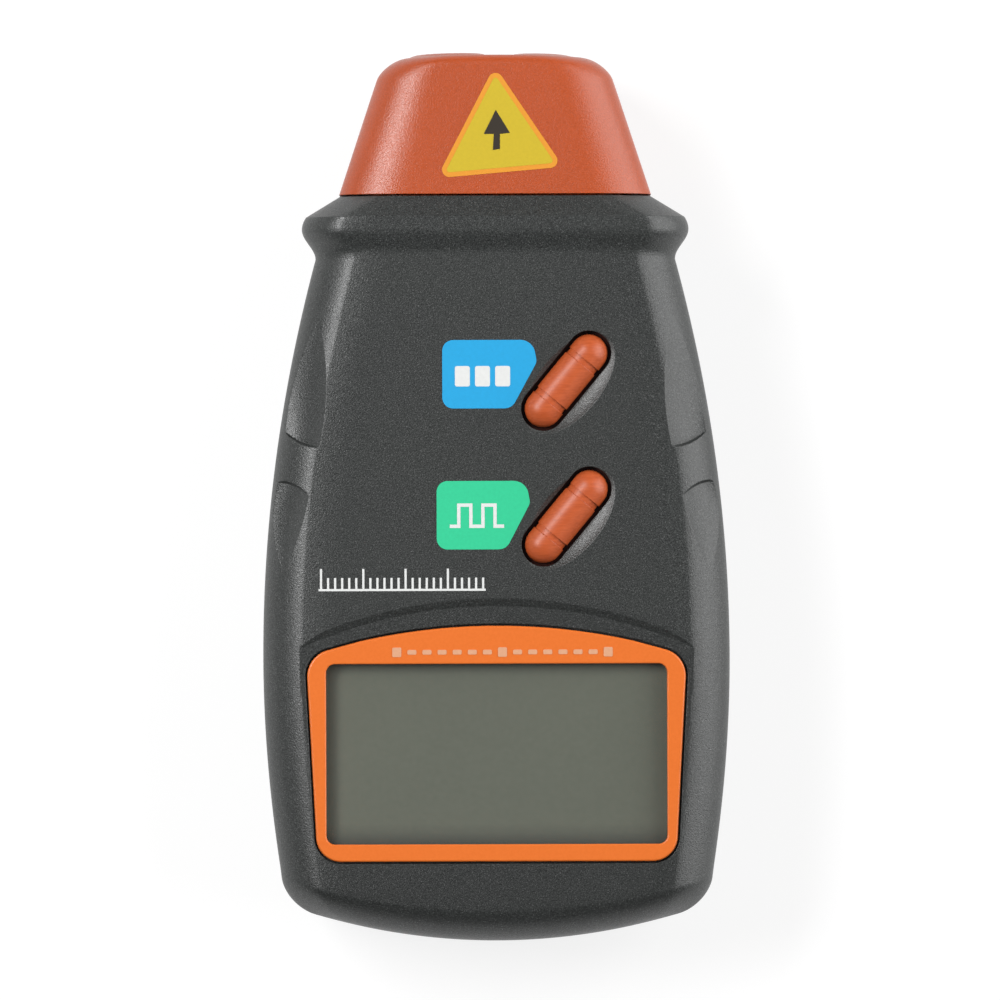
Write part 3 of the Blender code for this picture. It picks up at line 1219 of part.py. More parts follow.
def build():
    """Clear the scene and make every piece with its finish."""
    clear_scene()
    housing = material("housing", (0.058, 0.064, 0.062), 0.55)
    orange = material("orange", (0.60, 0.12, 0.05), 0.5)
    bright_orange = material("bright_orange", (0.90, 0.19, 0.03), 0.4)
    clear = material("clear", (0.9, 0.95, 0.92), 0.05, alpha=0.3)
    lcd = material("lcd", (0.16, 0.17, 0.13), 0.3)
    black = material("black", (0.02, 0.02, 0.02), 0.5)
    white = material("white", (0.7, 0.7, 0.68), 0.5)
    rubber = material("rubber", (0.25, 0.1, 0.12), 0.8)
    green = material("board", (0.02, 0.16, 0.07), 0.4)
    steel = material("steel", (0.55, 0.55, 0.56), 0.3, 1.0)
    brass = material("brass", (0.7, 0.5, 0.2), 0.3, 1.0)
    red = material("red", (0.6, 0.02, 0.02), 0.5)
    blue = material("sleeve", (0.03, 0.05, 0.25), 0.4)
    build_front_housing(housing)
    build_back_housing(housing)
    build_nose_cap(orange)
    build_optics(black, brass, clear, black)
    build_display(bright_orange, clear, lcd, white, rubber)
    for name, x, y in button_places():
        build_button(name, x, y, orange)
        build_switch(name, x, y, black, white)
    build_boards(green, black, steel, blue)
    build_battery(black, black, red, black)
    build_battery_door(housing)
    build_screws(steel)
    for obj in bpy.data.objects:
        if obj.type == "MESH":
            finish_surface(obj)


build()
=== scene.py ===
"""Looks of a hand-held laser tachometer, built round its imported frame.

Metres, in the frame's axes: the case lies on its back, +Z comes out of its face and +Y runs towards its nose.
"""

import json
from math import copysign, cos, hypot, pi, radians, sin, sqrt, tan

import bmesh
import bpy
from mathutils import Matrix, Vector
from mathutils.bvhtree import BVHTree


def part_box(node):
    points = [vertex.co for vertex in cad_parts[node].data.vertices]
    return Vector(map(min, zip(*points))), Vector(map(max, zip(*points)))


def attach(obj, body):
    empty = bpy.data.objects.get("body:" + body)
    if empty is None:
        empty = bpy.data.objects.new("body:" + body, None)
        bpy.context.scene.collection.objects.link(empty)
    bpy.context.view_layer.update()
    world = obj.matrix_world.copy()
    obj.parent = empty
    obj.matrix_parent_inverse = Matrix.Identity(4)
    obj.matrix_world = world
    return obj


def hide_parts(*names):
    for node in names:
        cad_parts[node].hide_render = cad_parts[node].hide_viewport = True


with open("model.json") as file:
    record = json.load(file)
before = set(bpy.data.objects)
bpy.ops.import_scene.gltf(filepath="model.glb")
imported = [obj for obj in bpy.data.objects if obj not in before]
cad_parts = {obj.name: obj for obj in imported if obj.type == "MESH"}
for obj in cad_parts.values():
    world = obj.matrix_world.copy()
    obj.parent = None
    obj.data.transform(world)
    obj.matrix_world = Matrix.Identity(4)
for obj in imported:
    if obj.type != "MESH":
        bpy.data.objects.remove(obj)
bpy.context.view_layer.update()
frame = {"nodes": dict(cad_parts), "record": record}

NODES = frame["nodes"]
SLOTS = {row["node"]: row["material_slot"] for row in frame["record"]["subparts"]}

# Places read from the frame
FRONT_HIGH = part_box("front_housing")[1]
BACK_LOW, BACK_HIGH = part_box("back_housing")
BORDER_LOW, BORDER_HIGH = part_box("display_border")
DOOR_LOW, DOOR_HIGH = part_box("battery_door")
SCREW_LOW, SCREW_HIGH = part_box("case_screw_1")
LEDGE_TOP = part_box("display_lens")[1].z
NOSE_END_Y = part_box("nose_cap")[1].y
FOOT_Y = BACK_LOW.y
COLLAR_Y = BACK_HIGH.y
BODY_HALF_WIDTH = FRONT_HIGH.x

# Case, seen from the front
HEEL_HALF_WIDTH = 0.0318
FOOT_CORNER_RADIUS = 0.0050
FOOT_ARC_RADIUS = 0.0920
NECK_HALF_WIDTH = 0.0265
BEAD_HALF_WIDTH = 0.0285
BEAD_SHOULDER_DROP = 0.0006
COLLAR_HALF_WIDTH = 0.0229
NECK_Y = COLLAR_Y - 0.00925
BEAD_Y = COLLAR_Y - 0.00485
BEAD_SHOULDER_Y = COLLAR_Y - 0.00305
WIDEST_Y = FOOT_Y + 0.0418

# Case, seen from the side
PARTING_HEIGHT = 0.0135
PARTING_GAP = 0.0003
FRONT_PLANE = PARTING_HEIGHT + PARTING_GAP / 2
BACK_PLANE = PARTING_HEIGHT - PARTING_GAP / 2
PARTING_CHAMFER = 0.0002
BEAD_RISE = 0.0010
BEAD_RISE_DELAY = 1 / 6
FACE_HEIGHT = FRONT_HIGH.z - BEAD_RISE
WALL = 0.0020
INNER_FACE = FACE_HEIGHT - WALL
SIDE_BEVEL = 0.0060
SIDE_BEVEL_FOOT = 0.0220
BACK_BEVEL = 0.0050
BACK_BEVEL_TOP = 0.0090
FOOT_BEVEL = 0.0047
COLLAR_DROP = 0.0011
COLLAR_LIFT = 0.0023
NECK_HOLLOW = 0.0008
BEVEL_POWER = 1.6
SHOULDER_WIDTH = 0.0080
SHOULDER_DROP = 0.0005
OPTIC_HEIGHT = (FACE_HEIGHT - COLLAR_DROP + COLLAR_LIFT) / 2

# Finger scoops
SCOOP_SAG = 0.0006
SCOOP_HEEL_RUN = 0.00045
SCOOP_CLEARANCE = 0.0040
SCOOP_TIP_SHARE = 0.985
UPPER_SCOOP = {
    "heel": ((0.02588, 0.00695), (0.03105, 0.00917)),
    "pull": ((0.02373, 0.01663), (0.03031, 0.01819)),
    "tip": (0.02602, 0.02602),
    "bow": -0.00052,
}
LOWER_SCOOP = {
    "heel": ((0.02750, 0.00044), (0.03201, 0.00251)),
    "pull": ((0.02868, -0.00577), (0.03386, -0.00444)),
    "tip": (0.03135, -0.01124),
    "bow": 0.00056,
}

# Display
WINDOW_HALF_X = 0.02505
WINDOW_HALF_Y = 0.01325
WINDOW_RADIUS = 0.0013
WINDOW_ROUNDING = 0.00022
# Width of the painted shade along the foot of the liquid crystal glass
LCD_FOOT_PAINTED_SHADE = 0.0030
BORDER_TOP_X = BORDER_HIGH.x
BORDER_TAPER = 0.0016
BORDER_FOOT = 0.00255
BORDER_SHOULDER = 0.0012
BORDER_CROWN = 0.0056
BORDER_CROWN_SHARE = 0.72
BORDER_SHOULDER_RADIUS = 0.0040
BORDER_FOOT_RADIUS = 0.0037
BORDER_ROUNDING = 0.0003
DISPLAY_Y = BORDER_LOW.y + BORDER_FOOT + WINDOW_HALF_Y
RECESS_DEPTH = 0.00045
RECESS_SLOPE = 0.0011
RECESS_MARGIN = 0.0040
RECESS_ARC_RADIUS = 0.0710
RECESS_EDGE_Y = DISPLAY_Y + WINDOW_HALF_Y + BORDER_CROWN + RECESS_MARGIN
LEDGE_WIDTH = 0.0015
LEDGE_FOOT = LEDGE_TOP - 0.0012

# Push buttons
BUTTON_PLACES = {"memory_button": (0.01035, 0.0169), "test_button": (0.01035, -0.00306)}
BUTTON_HALF_LENGTH = 0.00805
BUTTON_RADIUS = 0.00275
BUTTON_ANGLE = radians(50.5)
BUTTON_GAP = 0.0005
BUTTON_FLANGE = 0.0009
BUTTON_FLANGE_THICKNESS = 0.0008
BUTTON_STEM_RADIUS = 0.0016
GROOVE_FROM_CENTRE = 0.0037
GROOVE_WIDTH = 0.0011
GROOVE_DEPTH = 0.0002
GROOVE_FLOOR_SHARE = 0.8
# Heights over which the buttons get a painted shade, darkest at the foot
KEY_PAINTED_SHADE_FOOT = FACE_HEIGHT - 0.0018
KEY_PAINTED_SHADE_TOP = FACE_HEIGHT - 0.0008
DISH_LENGTH = 0.0088
DISH_WIDTH = 0.0046
DISH_DEPTH = 0.0012
DISH_RISE = 0.0015
DISH_OFFSET = 0.0007

# Nose
NOSE_BASE_HALF_WIDTH = 0.0231
NOSE_END_HALF_WIDTH = 0.0161
NOSE_CORNER_RADIUS = 0.0035
NOSE_BEVEL = 0.0060
NOSE_BEVEL_LIMIT = 0.9
NOSE_BEVEL_WIDTH = 0.0100
NOSE_BEVEL_TAPER = 0.0022
NOSE_SLOPE = 0.0016
NOSE_WALL = 0.0018
NOSE_END_WALL = 0.0030
NOSE_END_ROUNDING = 0.0014
NOSE_END_CROWN = 1.8
NOSE_END_LENGTH = 0.0045
TONGUE_INSET = 0.0040
TONGUE_WALL = 0.0018
FLANGE_STEP = 0.0016
FLANGE_THICKNESS = 0.0020
PORT_X = 0.0068
PORT_BOSS_RADIUS = 0.0066
PORT_BOSS_RISE = 0.0005
PORT_LIP = 0.0004
RECEIVER_BORE = 0.0043
LASER_BORE = 0.0024
SOCKET_DEPTH = 0.0060
SOCKET_WALL = 0.0011
RECEIVER_SEAT = 0.0049
LASER_SEAT = 0.0043
LENS_CROWN = 0.0010
LENS_CHAMFER = 0.0002

# Battery bay and door
FINE_GAP = 0.0003
SLIDE_GAP = 0.0003
BAY_LOW_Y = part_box("battery")[0].y - FINE_GAP
BAY_HALF_WIDTH = 0.01375
BAY_WALL = 0.0014
BAY_TOP = 0.0194
DOOR_HALF_WIDTH = 0.0167
DOOR_END_Y = DOOR_HIGH.y - 0.0007
DOOR_INSET = DOOR_LOW.z
DOOR_SKIN_TOP = DOOR_INSET + 0.0009
DOOR_TONGUE_TOP = DOOR_SKIN_TOP + 0.0010
DOOR_TONGUE_OVERLAP = 0.0003
DOOR_TONGUE_X = DOOR_HIGH.x
DOOR_LIP_Y = FOOT_Y + 0.0054
DOOR_LIP_HEIGHT = 0.0060
RAIL_X = DOOR_TONGUE_X + 0.0016
RAIL_TOP = 0.0037
GRIP_FROM_BAY = 0.0040
GRIP_PITCH = 0.0020
GRIP_HALF_LENGTH = 0.0070
GRIP_RADIUS = 0.00045
GRIP_DEPTH = 0.0004
ARROW_FROM_BAY = 0.0180
ARROW_HALF_X = 0.0036
ARROW_HALF_Y = 0.0022
ARROW_RADIUS = 0.0003
ARROW_DEPTH = 0.0003

# Case screws
UPPER_SCREW = (0.0195, COLLAR_Y - 0.01515)
LOWER_SCREW = (0.0230, FOOT_Y + 0.0083)
SCREW_PLACES = [(side * x, y) for x, y in (UPPER_SCREW, LOWER_SCREW) for side in (-1, 1)]
SCREW_FOOT = SCREW_LOW.z
SCREW_TOP = SCREW_HIGH.z
SCREW_RADIUS = 0.0011
SCREW_HEAD_RADIUS = 0.0024
SCREW_HEAD_HEIGHT = 0.0018
SCREW_BOSS_RADIUS = 0.0030
CROSS_HALF_WIDTH = 0.0004
CROSS_REACH = 0.0015

# Size and depth at both ends of a screw's cross recess
CROSS_ENDS = ((1.15, -0.0004), (0.8, 0.0009))

# Facets
ACROSS_FACE = 20
ACROSS_BEVEL = 18
ALONG_BODY = 60
ROUND = 64
TINY = 1e-6

# Picture, light and finishes
PIXEL = 0.00014786
MIDDLE_PIXEL = 496
IMAGE_SIZE = 1000
CAMERA_X = 0.00059
CAMERA_Y = -0.00059
CAMERA_ROLL = radians(-0.18)
CAMERA_DISTANCE = 1.5
SENSOR_WIDTH = 36.0
FOCUS_HEIGHT = 0.017
LAMP_DISTANCE = 0.9
SKY_TONE = 0.12
FLOOR_REACH = 3.0
FLOOR_FOOT = -0.01
FLOOR_TOP = -0.0002
FLOOR_TONE = 0.24
FLOOR_GLOW = 0.8
GRAIN = 4600.0
HOUSING_COLOUR = (0.0262, 0.0288, 0.0277)
NOSE_COLOUR = (0.44, 0.070, 0.014)

# Printed films: LAYERS lists their lift and thickness
LAYERS = ((0.00001, 0.00005), (0.00007, 0.00002), (0.00011, 0.00002))
FILM_PITCH = 0.0008
SQUARE_SIGN = (0.0011, 0.0015, 0.0003)
PULSE_WIDTH = 0.0005
TICK_HALF_WIDTH = 0.00016
STICKER_RADIUS = 0.0011
STICKER_RIM = 0.0007


# Shape tools

def steps(start, end, count):
    """count + 1 evenly spaced values from start to end."""
    return [start + (end - start) * i / count for i in range(count + 1)]


def kept(share):
    """Share kept from 0 to 1."""
    return min(max(share, 0.0), 1.0)


def way(value, start, end):
    """How far a value is on its way from start to end."""
    return (value - start) / (end - start)


def mix(start, end, share):
    """Value at a share of the way from start to end."""
    return start + (end - start) * share


def placed(x, y, u, v, angle):
    """Place at u and v on axes that stand at x and y and are turned by angle."""
    return (x + u * cos(angle) - v * sin(angle), y + u * sin(angle) + v * cos(angle))


def circle(x, y, radius, count=ROUND):
    """Points of a circle, anticlockwise."""
    angles = [2 * pi * (i + 0.5) / count for i in range(count)]
    return [(x + radius * cos(a), y + radius * sin(a)) for a in angles]


def capsule(x, y, half_length, radius, angle, count):
    """Points of a slot with round ends, its long axis turned by angle."""
    straight = half_length - radius
    points = [(straight + radius * cos(a), radius * sin(a)) for a in steps(-pi / 2, pi / 2, count)]
    points += [(-u, -v) for u, v in points]
    return [placed(x, y, u, v, angle) for u, v in points]


def rounded(corners, count=12):
    """Outline through corners (x, y, radius), listed anticlockwise, each rounded by its radius."""
    points = []
    for i, (x, y, radius) in enumerate(corners):
        if radius <= 0:
            points.append((x, y))
            continue
        corner = Vector((x, y))
        back = (Vector(corners[i - 1][:2]) - corner).normalized()
        ahead = (Vector(corners[(i + 1) % len(corners)][:2]) - corner).normalized()
        half = back.angle(ahead) / 2
        reach = radius / tan(half)
        middle = corner + (back + ahead).normalized() * radius / sin(half)
        first = corner + back * reach - middle
        sweep = first.angle_signed(corner + ahead * reach - middle)
        for share in steps(0.0, 1.0, count):
            points.append(placed(*middle, *first, -sweep * share))
    return points


def rectangle(x, y, half_x, half_y, radius=0.0, count=12):
    """Rectangle with its corners rounded."""
    signs = ((-1, -1), (1, -1), (1, 1), (-1, 1))
    return rounded([(x + sx * half_x, y + sy * half_y, radius) for sx, sy in signs], count)


def grown(outline, distance):
    """The outline moved outwards by distance, or inwards if it is negative."""
    result = []
    for i, point in enumerate(outline):
        here = Vector(point)
        one = (here - Vector(outline[i - 1])).normalized()
        two = (Vector(outline[(i + 1) % len(outline)]) - here).normalized()
        normal = (Vector((one.y, -one.x)) + Vector((two.y, -two.x))).normalized()
        moved = here + normal * distance / max(normal.dot(Vector((one.y, -one.x))), 0.2)
        result.append((moved.x, moved.y))
    return result


def raised(outline, z):
    """Outline in X and Y at a height."""
    return [(x, y, z) for x, y in outline]


def strip(bm, lower, upper, closed=False):
    """Faces between two rows of points."""
    for i in range(len(lower) if closed else len(lower) - 1):
        k = (i + 1) % len(lower)
        bm.faces.new((lower[i], lower[k], upper[k], upper[i]))


def facing_out(bm):
    """Shape with its normals turned outwards."""
    bmesh.ops.recalc_face_normals(bm, faces=bm.faces)
    return bm


def loft(rings):
    """Closed solid through rings that have the same number of points, with flat ends."""
    bm = bmesh.new()
    rows = [[bm.verts.new(point) for point in ring] for ring in rings]
    for lower, upper in zip(rows, rows[1:]):
        strip(bm, lower, upper, closed=True)
    bm.faces.new(list(reversed(rows[0])))
    bm.faces.new(rows[-1])
    return facing_out(bm)


def between(low, high):
    """Closed solid between two grids of points that have the same rows."""
    bm = bmesh.new()
    floor = [[bm.verts.new(point) for point in row] for row in low]
    roof = [[bm.verts.new(point) for point in row] for row in high]
    for rows in (floor, roof):
        for one, two in zip(rows, rows[1:]):
            strip(bm, one, two)
    for end in (0, -1):
        strip(bm, floor[end], roof[end])
        strip(bm, [row[end] for row in floor], [row[end] for row in roof])
    return facing_out(bm)


def prism(outline, low, high):
    """Outline in X and Y, extruded from height low to height high."""
    return loft([raised(outline, low), raised(outline, high)])


def bar(outline, start, end):
    """Outline in X and Z, extruded along Y."""
    return loft([[(x, y, z) for x, z in outline] for y in (start, end)])


def block(half_x, start, end, low, high):
    """Block across the middle, from start to end along Y and from height low to height high."""
    return prism([(-half_x, start), (half_x, start), (half_x, end), (-half_x, end)], low, high)


def turned(profile, centre):
    """Solid turned about a line along Y. profile lists (radius, distance along it), both ends on the line."""
    rings = []
    for radius, along in profile:
        spot = max(radius, TINY)
        angles = [2 * pi * i / ROUND for i in range(ROUND)]
        y = centre[1] + along
        rings.append([(centre[0] + spot * cos(a), y, centre[2] + spot * sin(a)) for a in angles])
    return loft(rings)


def linked(name, data):
    """New object in the scene."""
    obj = bpy.data.objects.new(name, data)
    bpy.context.collection.objects.link(obj)
    return obj


def piece(name, bm):
    """Named object from a shape."""
    mesh = bpy.data.meshes.new(name)
    bm.to_mesh(mesh)
    bm.free()
    return linked(name, mesh)


def combine(obj, tools, operation):
    """Boolean of an object with shapes, one after another."""
    for tool in tools:
        other = piece("tool", tool)
        modifier = obj.modifiers.new("shape", "BOOLEAN")
        modifier.solver = "EXACT"
        modifier.operation = operation
        modifier.object = other
        graph = bpy.context.evaluated_depsgraph_get()
        result = bpy.data.meshes.new_from_object(obj.evaluated_get(graph))
        obj.modifiers.clear()
        old = obj.data
        obj.data = result
        bpy.data.meshes.remove(old)
        mesh = other.data
        bpy.data.objects.remove(other)
        bpy.data.meshes.remove(mesh)


def add(obj, *tools):
    """Fuse shapes to an object."""
    combine(obj, tools, "UNION")


def cut(obj, *tools):
    """Cut shapes out of an object."""
    combine(obj, tools, "DIFFERENCE")


def soften(obj, angle=35):
    """Smooth shading with sharp edges kept, each face weighing by its area."""
    bm = bmesh.new()
    bm.from_mesh(obj.data)
    bmesh.ops.remove_doubles(bm, verts=bm.verts, dist=TINY)
    facing_out(bm).to_mesh(obj.data)
    bm.free()
    obj.data.shade_smooth()
    obj.data.set_sharp_from_angle(angle=radians(angle))
    modifier = obj.modifiers.new("normals", "WEIGHTED_NORMAL")
    modifier.keep_sharp = True
    modifier.weight = 50


# Outer form of the case

def ease(share):
    """Smooth step from 0 to 1."""
    return (1 - cos(pi * kept(share))) / 2


def half_width(s):
    """Half-width at the parting line. s is the place along the middle line."""
    corner_y = FOOT_Y + FOOT_CORNER_RADIUS
    if s < corner_y:
        drop = min(corner_y - s, FOOT_CORNER_RADIUS)
        return HEEL_HALF_WIDTH - FOOT_CORNER_RADIUS + sqrt(FOOT_CORNER_RADIUS**2 - drop**2)
    if s < WIDEST_Y:
        return mix(BODY_HALF_WIDTH, HEEL_HALF_WIDTH, way(s, WIDEST_Y, corner_y)**2)
    if s < NECK_Y:
        return mix(BODY_HALF_WIDTH, NECK_HALF_WIDTH, way(s, WIDEST_Y, NECK_Y)**2)
    if s < BEAD_Y:
        return mix(NECK_HALF_WIDTH, BEAD_HALF_WIDTH, ease(way(s, NECK_Y, BEAD_Y)))
    if s < BEAD_SHOULDER_Y:
        return BEAD_HALF_WIDTH - BEAD_SHOULDER_DROP * way(s, BEAD_Y, BEAD_SHOULDER_Y)**2
    shoulder = BEAD_HALF_WIDTH - BEAD_SHOULDER_DROP
    return mix(shoulder, COLLAR_HALF_WIDTH, way(s, BEAD_SHOULDER_Y, COLLAR_Y))


def bevel_share(share):
    """Height left of a rounded bevel at a share of its width."""
    return (1 - kept(share)**BEVEL_POWER) ** (1 / BEVEL_POWER)


def front_height(s):
    """Height of the front face along the middle line."""
    foot_edge = FOOT_Y + FOOT_BEVEL
    if s < foot_edge:
        return mix(SIDE_BEVEL_FOOT, FACE_HEIGHT, bevel_share((foot_edge - s) / FOOT_BEVEL))
    if s < BEAD_SHOULDER_Y:
        start = mix(NECK_Y, BEAD_Y, BEAD_RISE_DELAY)
        return FACE_HEIGHT + BEAD_RISE * ease(way(s, start, BEAD_Y))
    return FACE_HEIGHT + BEAD_RISE - (BEAD_RISE + COLLAR_DROP) * way(s, BEAD_SHOULDER_Y, COLLAR_Y)


def back_height(s):
    """Height of the back face along the middle line."""
    foot_edge = FOOT_Y + FOOT_BEVEL
    if s < foot_edge:
        return BACK_BEVEL_TOP * (1 - bevel_share((foot_edge - s) / FOOT_BEVEL))
    if s < BEAD_Y:
        return NECK_HOLLOW * (1 - ease(abs(s - NECK_Y) / (BEAD_Y - NECK_Y)))
    if s < BEAD_SHOULDER_Y:
        return 0.0
    return COLLAR_LIFT * (s - BEAD_SHOULDER_Y) / (COLLAR_Y - BEAD_SHOULDER_Y)


def shoulder_drop(x, wide):
    """How far the front face falls before and into its side bevel."""
    start = wide - SIDE_BEVEL - SHOULDER_WIDTH / 2
    return SHOULDER_DROP * ease((abs(x) - start) / SHOULDER_WIDTH)


def foot_bow(s):
    """Share of the foot's arc that a cross line has at s."""
    return kept(way(s, WIDEST_Y, FOOT_Y))


def stations(inset):
    """Places along the middle line at which the case's section is drawn."""
    foot = FOOT_Y + inset
    reach = BEAD_Y - NECK_Y
    rows = [foot + FOOT_BEVEL * (1 - cos(a)) for a in steps(0.0, pi / 2, 16)]
    rows += steps(foot + FOOT_BEVEL, NECK_Y - reach, ALONG_BODY)[1:]
    rows += steps(NECK_Y - reach, NECK_Y, 8)[1:]
    rows += steps(NECK_Y, BEAD_Y, 16)[1:]
    rows += steps(BEAD_Y, BEAD_SHOULDER_Y, 6)[1:]
    rows += steps(BEAD_SHOULDER_Y, COLLAR_Y, 8)[1:]
    return rows


def section(s, inset, front):
    """Points across the case at s, from its left edge to its right edge."""
    outer_s = s - inset * foot_bow(s)
    wide = half_width(outer_s) - inset
    if front:
        edge = SIDE_BEVEL_FOOT - inset
        level = front_height(outer_s) - inset
        bevel = SIDE_BEVEL
    else:
        edge = BACK_BEVEL_TOP + inset
        level = back_height(outer_s) + inset
        bevel = BACK_BEVEL
    right = [(x, level) for x in steps(0.0, wide - bevel, ACROSS_FACE)[:-1]]
    for a in steps(0.0, pi / 2, ACROSS_BEVEL):
        share = sin(a) ** (2 / BEVEL_POWER)
        right.append((wide - bevel + bevel * share, mix(edge, level, bevel_share(share))))
    if front:
        right = [(x, z - shoulder_drop(x, wide)) for x, z in right]
    line = [(-x, z) for x, z in reversed(right[1:])] + right
    bow = foot_bow(s) / (2 * FOOT_ARC_RADIUS)
    return [(x, s + bow * x * x, z) for x, z in line]


def case_half(front, plane, inset=0.0, end=None, chamfer=0.0):
    """Solid half of the case between its outer form and a plane, drawn in by inset."""
    rows = [s for s in stations(inset) if end is None or s < end]
    if end is not None:
        rows.append(end)
    rise = chamfer if front else -chamfer
    bm = bmesh.new()
    skins = []
    walls = []
    floors = []
    for k, s in enumerate(rows):
        points = section(s, inset, front)
        skins.append([bm.verts.new(point) for point in points])
        low = points if k in (0, len(rows) - 1) else [points[0], points[-1]]
        narrow = 1 - chamfer / points[-1][0]
        inward = max(chamfer - (s - rows[0]) / 3, 0.0)
        walls.append([bm.verts.new((x, y, plane + rise)) for x, y, _ in low] if chamfer else [])
        floors.append([bm.verts.new((x * narrow, y + inward, plane)) for x, y, _ in low])
    for lower, upper in zip(skins, skins[1:]):
        strip(bm, lower, upper)
    levels = [skins, walls, floors] if chamfer else [skins, floors]
    for upper, lower in zip(levels, levels[1:]):
        for k in range(len(rows) - 1):
            for i in (0, -1):
                bm.faces.new((upper[k][i], upper[k + 1][i], lower[k + 1][i], lower[k][i]))
        for k in (0, -1):
            strip(bm, upper[k], lower[k])
    for one, two in zip(floors, floors[1:]):
        bm.faces.new(one + list(reversed(two)))
    return facing_out(bm)


# Outlines that more than one piece follows

def border_outline(grow=0.0):
    """Outer edge of the display border."""
    foot_x = BORDER_TOP_X - BORDER_TAPER
    foot_y = DISPLAY_Y - WINDOW_HALF_Y - BORDER_FOOT
    side_y = DISPLAY_Y + WINDOW_HALF_Y + BORDER_SHOULDER
    crown_y = DISPLAY_Y + WINDOW_HALF_Y + BORDER_CROWN
    rise = crown_y - side_y
    radius = (BORDER_TOP_X**2 + rise**2) / (2 * rise)
    corners = [
        (-foot_x, foot_y, BORDER_FOOT_RADIUS),
        (foot_x, foot_y, BORDER_FOOT_RADIUS),
        (BORDER_TOP_X, side_y, BORDER_SHOULDER_RADIUS),
    ]
    reach = BORDER_CROWN_SHARE * BORDER_TOP_X
    for x in steps(reach, -reach, 36):
        corners.append((x, crown_y - radius + sqrt(radius**2 - x**2), 0.0))
    corners.append((-BORDER_TOP_X, side_y, BORDER_SHOULDER_RADIUS))
    outline = rounded(corners)
    return grown(outline, grow) if grow else outline


def button_outline(x, y, grow=0.0):
    """Capsule outline of a push button."""
    return capsule(x, y, BUTTON_HALF_LENGTH + grow, BUTTON_RADIUS + grow, BUTTON_ANGLE, 24)


def tongue_outline(inset):
    """Section of the nose's tongue in X and Z."""
    half_z = (FACE_HEIGHT - COLLAR_DROP - COLLAR_LIFT) / 2 - inset
    radius = min(NOSE_BEVEL, half_z * NOSE_BEVEL_LIMIT)
    return rectangle(0.0, OPTIC_HEIGHT, COLLAR_HALF_WIDTH - inset, half_z, radius)


def tongue_slot():
    """Cutter for the opening in the collar that the nose's tongue goes through."""
    return bar(tongue_outline(TONGUE_INSET - FINE_GAP), COLLAR_Y - 2 * WALL, COLLAR_Y + WALL)


# Front shell

def face_level(x, y):
    """Height of the outer form above a place between the display and the neck."""
    wide = half_width(y)
    share = bevel_share((abs(x) - wide + SIDE_BEVEL) / SIDE_BEVEL)
    return mix(SIDE_BEVEL_FOOT, FACE_HEIGHT, share) - shoulder_drop(x, wide)


def bent(start, pull, end, share):
    """Place on a line that bends towards a point on its way."""
    one = Vector(start).lerp(Vector(pull), share)
    return one.lerp(Vector(pull).lerp(Vector(end), share), share)


def scoop(side, form):
    """Cutter for a leaf-shaped finger scoop: steep at its heel, running out at its tip."""
    low = []
    for share in [0.0] + steps(0.0, SCOOP_TIP_SHARE, 26):
        inner = bent(form["heel"][0], form["pull"][0], form["tip"], share)
        outer = bent(form["heel"][1], form["pull"][1], form["tip"], share)
        shift = copysign(SCOOP_HEEL_RUN, inner.y - form["tip"][1]) * (1 - share) if low else 0.0
        row = []
        for w in steps(0.0, 1.0, 18):
            swell = 4 * w * (1 - w)
            place = inner.lerp(outer, w)
            y = place.y + form["bow"] * swell * (1 - share)**3 - shift
            z = mix(face_level(*inner), face_level(*outer), w) - SCOOP_SAG * swell * (1 - share)
            if not low:
                z = face_level(place.x, y) + FINE_GAP
            row.append((side * place.x, y, z))
        row.append((side * (outer.x + SCOOP_CLEARANCE), row[-1][1], row[-1][2]))
        low.append(row)
    high = [[(x, y, FACE_HEIGHT + SCOOP_CLEARANCE) for x, y, _ in row] for row in low]
    return between(low, high)


def display_recess():
    """Shallow wedge cut out of the face round the display, with a sloping edge, running out at the foot."""
    end_y = DISPLAY_Y - WINDOW_HALF_Y - BORDER_FOOT - RECESS_MARGIN
    reach = BODY_HALF_WIDTH
    rings = []
    for lift, run in ((-RECESS_DEPTH, -RECESS_SLOPE), (RECESS_DEPTH, RECESS_SLOPE), (WALL, RECESS_SLOPE)):
        outline = [(-reach, FOOT_Y), (reach, FOOT_Y)]
        for x in steps(reach, -reach, 60):
            outline.append((x, RECESS_EDGE_Y + run - RECESS_ARC_RADIUS + sqrt(RECESS_ARC_RADIUS**2 - x**2)))
        ring = []
        for x, y in outline:
            share = way(y, end_y, RECESS_EDGE_Y) if lift < 0 else 1.0
            ring.append((x, y, FACE_HEIGHT + lift * share))
        rings.append(ring)
    return loft(rings)


def button_dish(x, y):
    """Elliptical finger dish round a push button."""
    height = DISH_DEPTH + DISH_RISE
    widening = 1 / sqrt(1 - (DISH_RISE / height) ** 2)
    bm = bmesh.new()
    bmesh.ops.create_uvsphere(bm, u_segments=240, v_segments=120, radius=1.0)
    for vert in bm.verts:
        u = vert.co.x * DISH_LENGTH * widening
        v = vert.co.y * DISH_WIDTH * widening - DISH_OFFSET
        z = vert.co.z * height + FACE_HEIGHT + DISH_RISE
        vert.co = (*placed(x, y, u, v, BUTTON_ANGLE), z)
    return bm


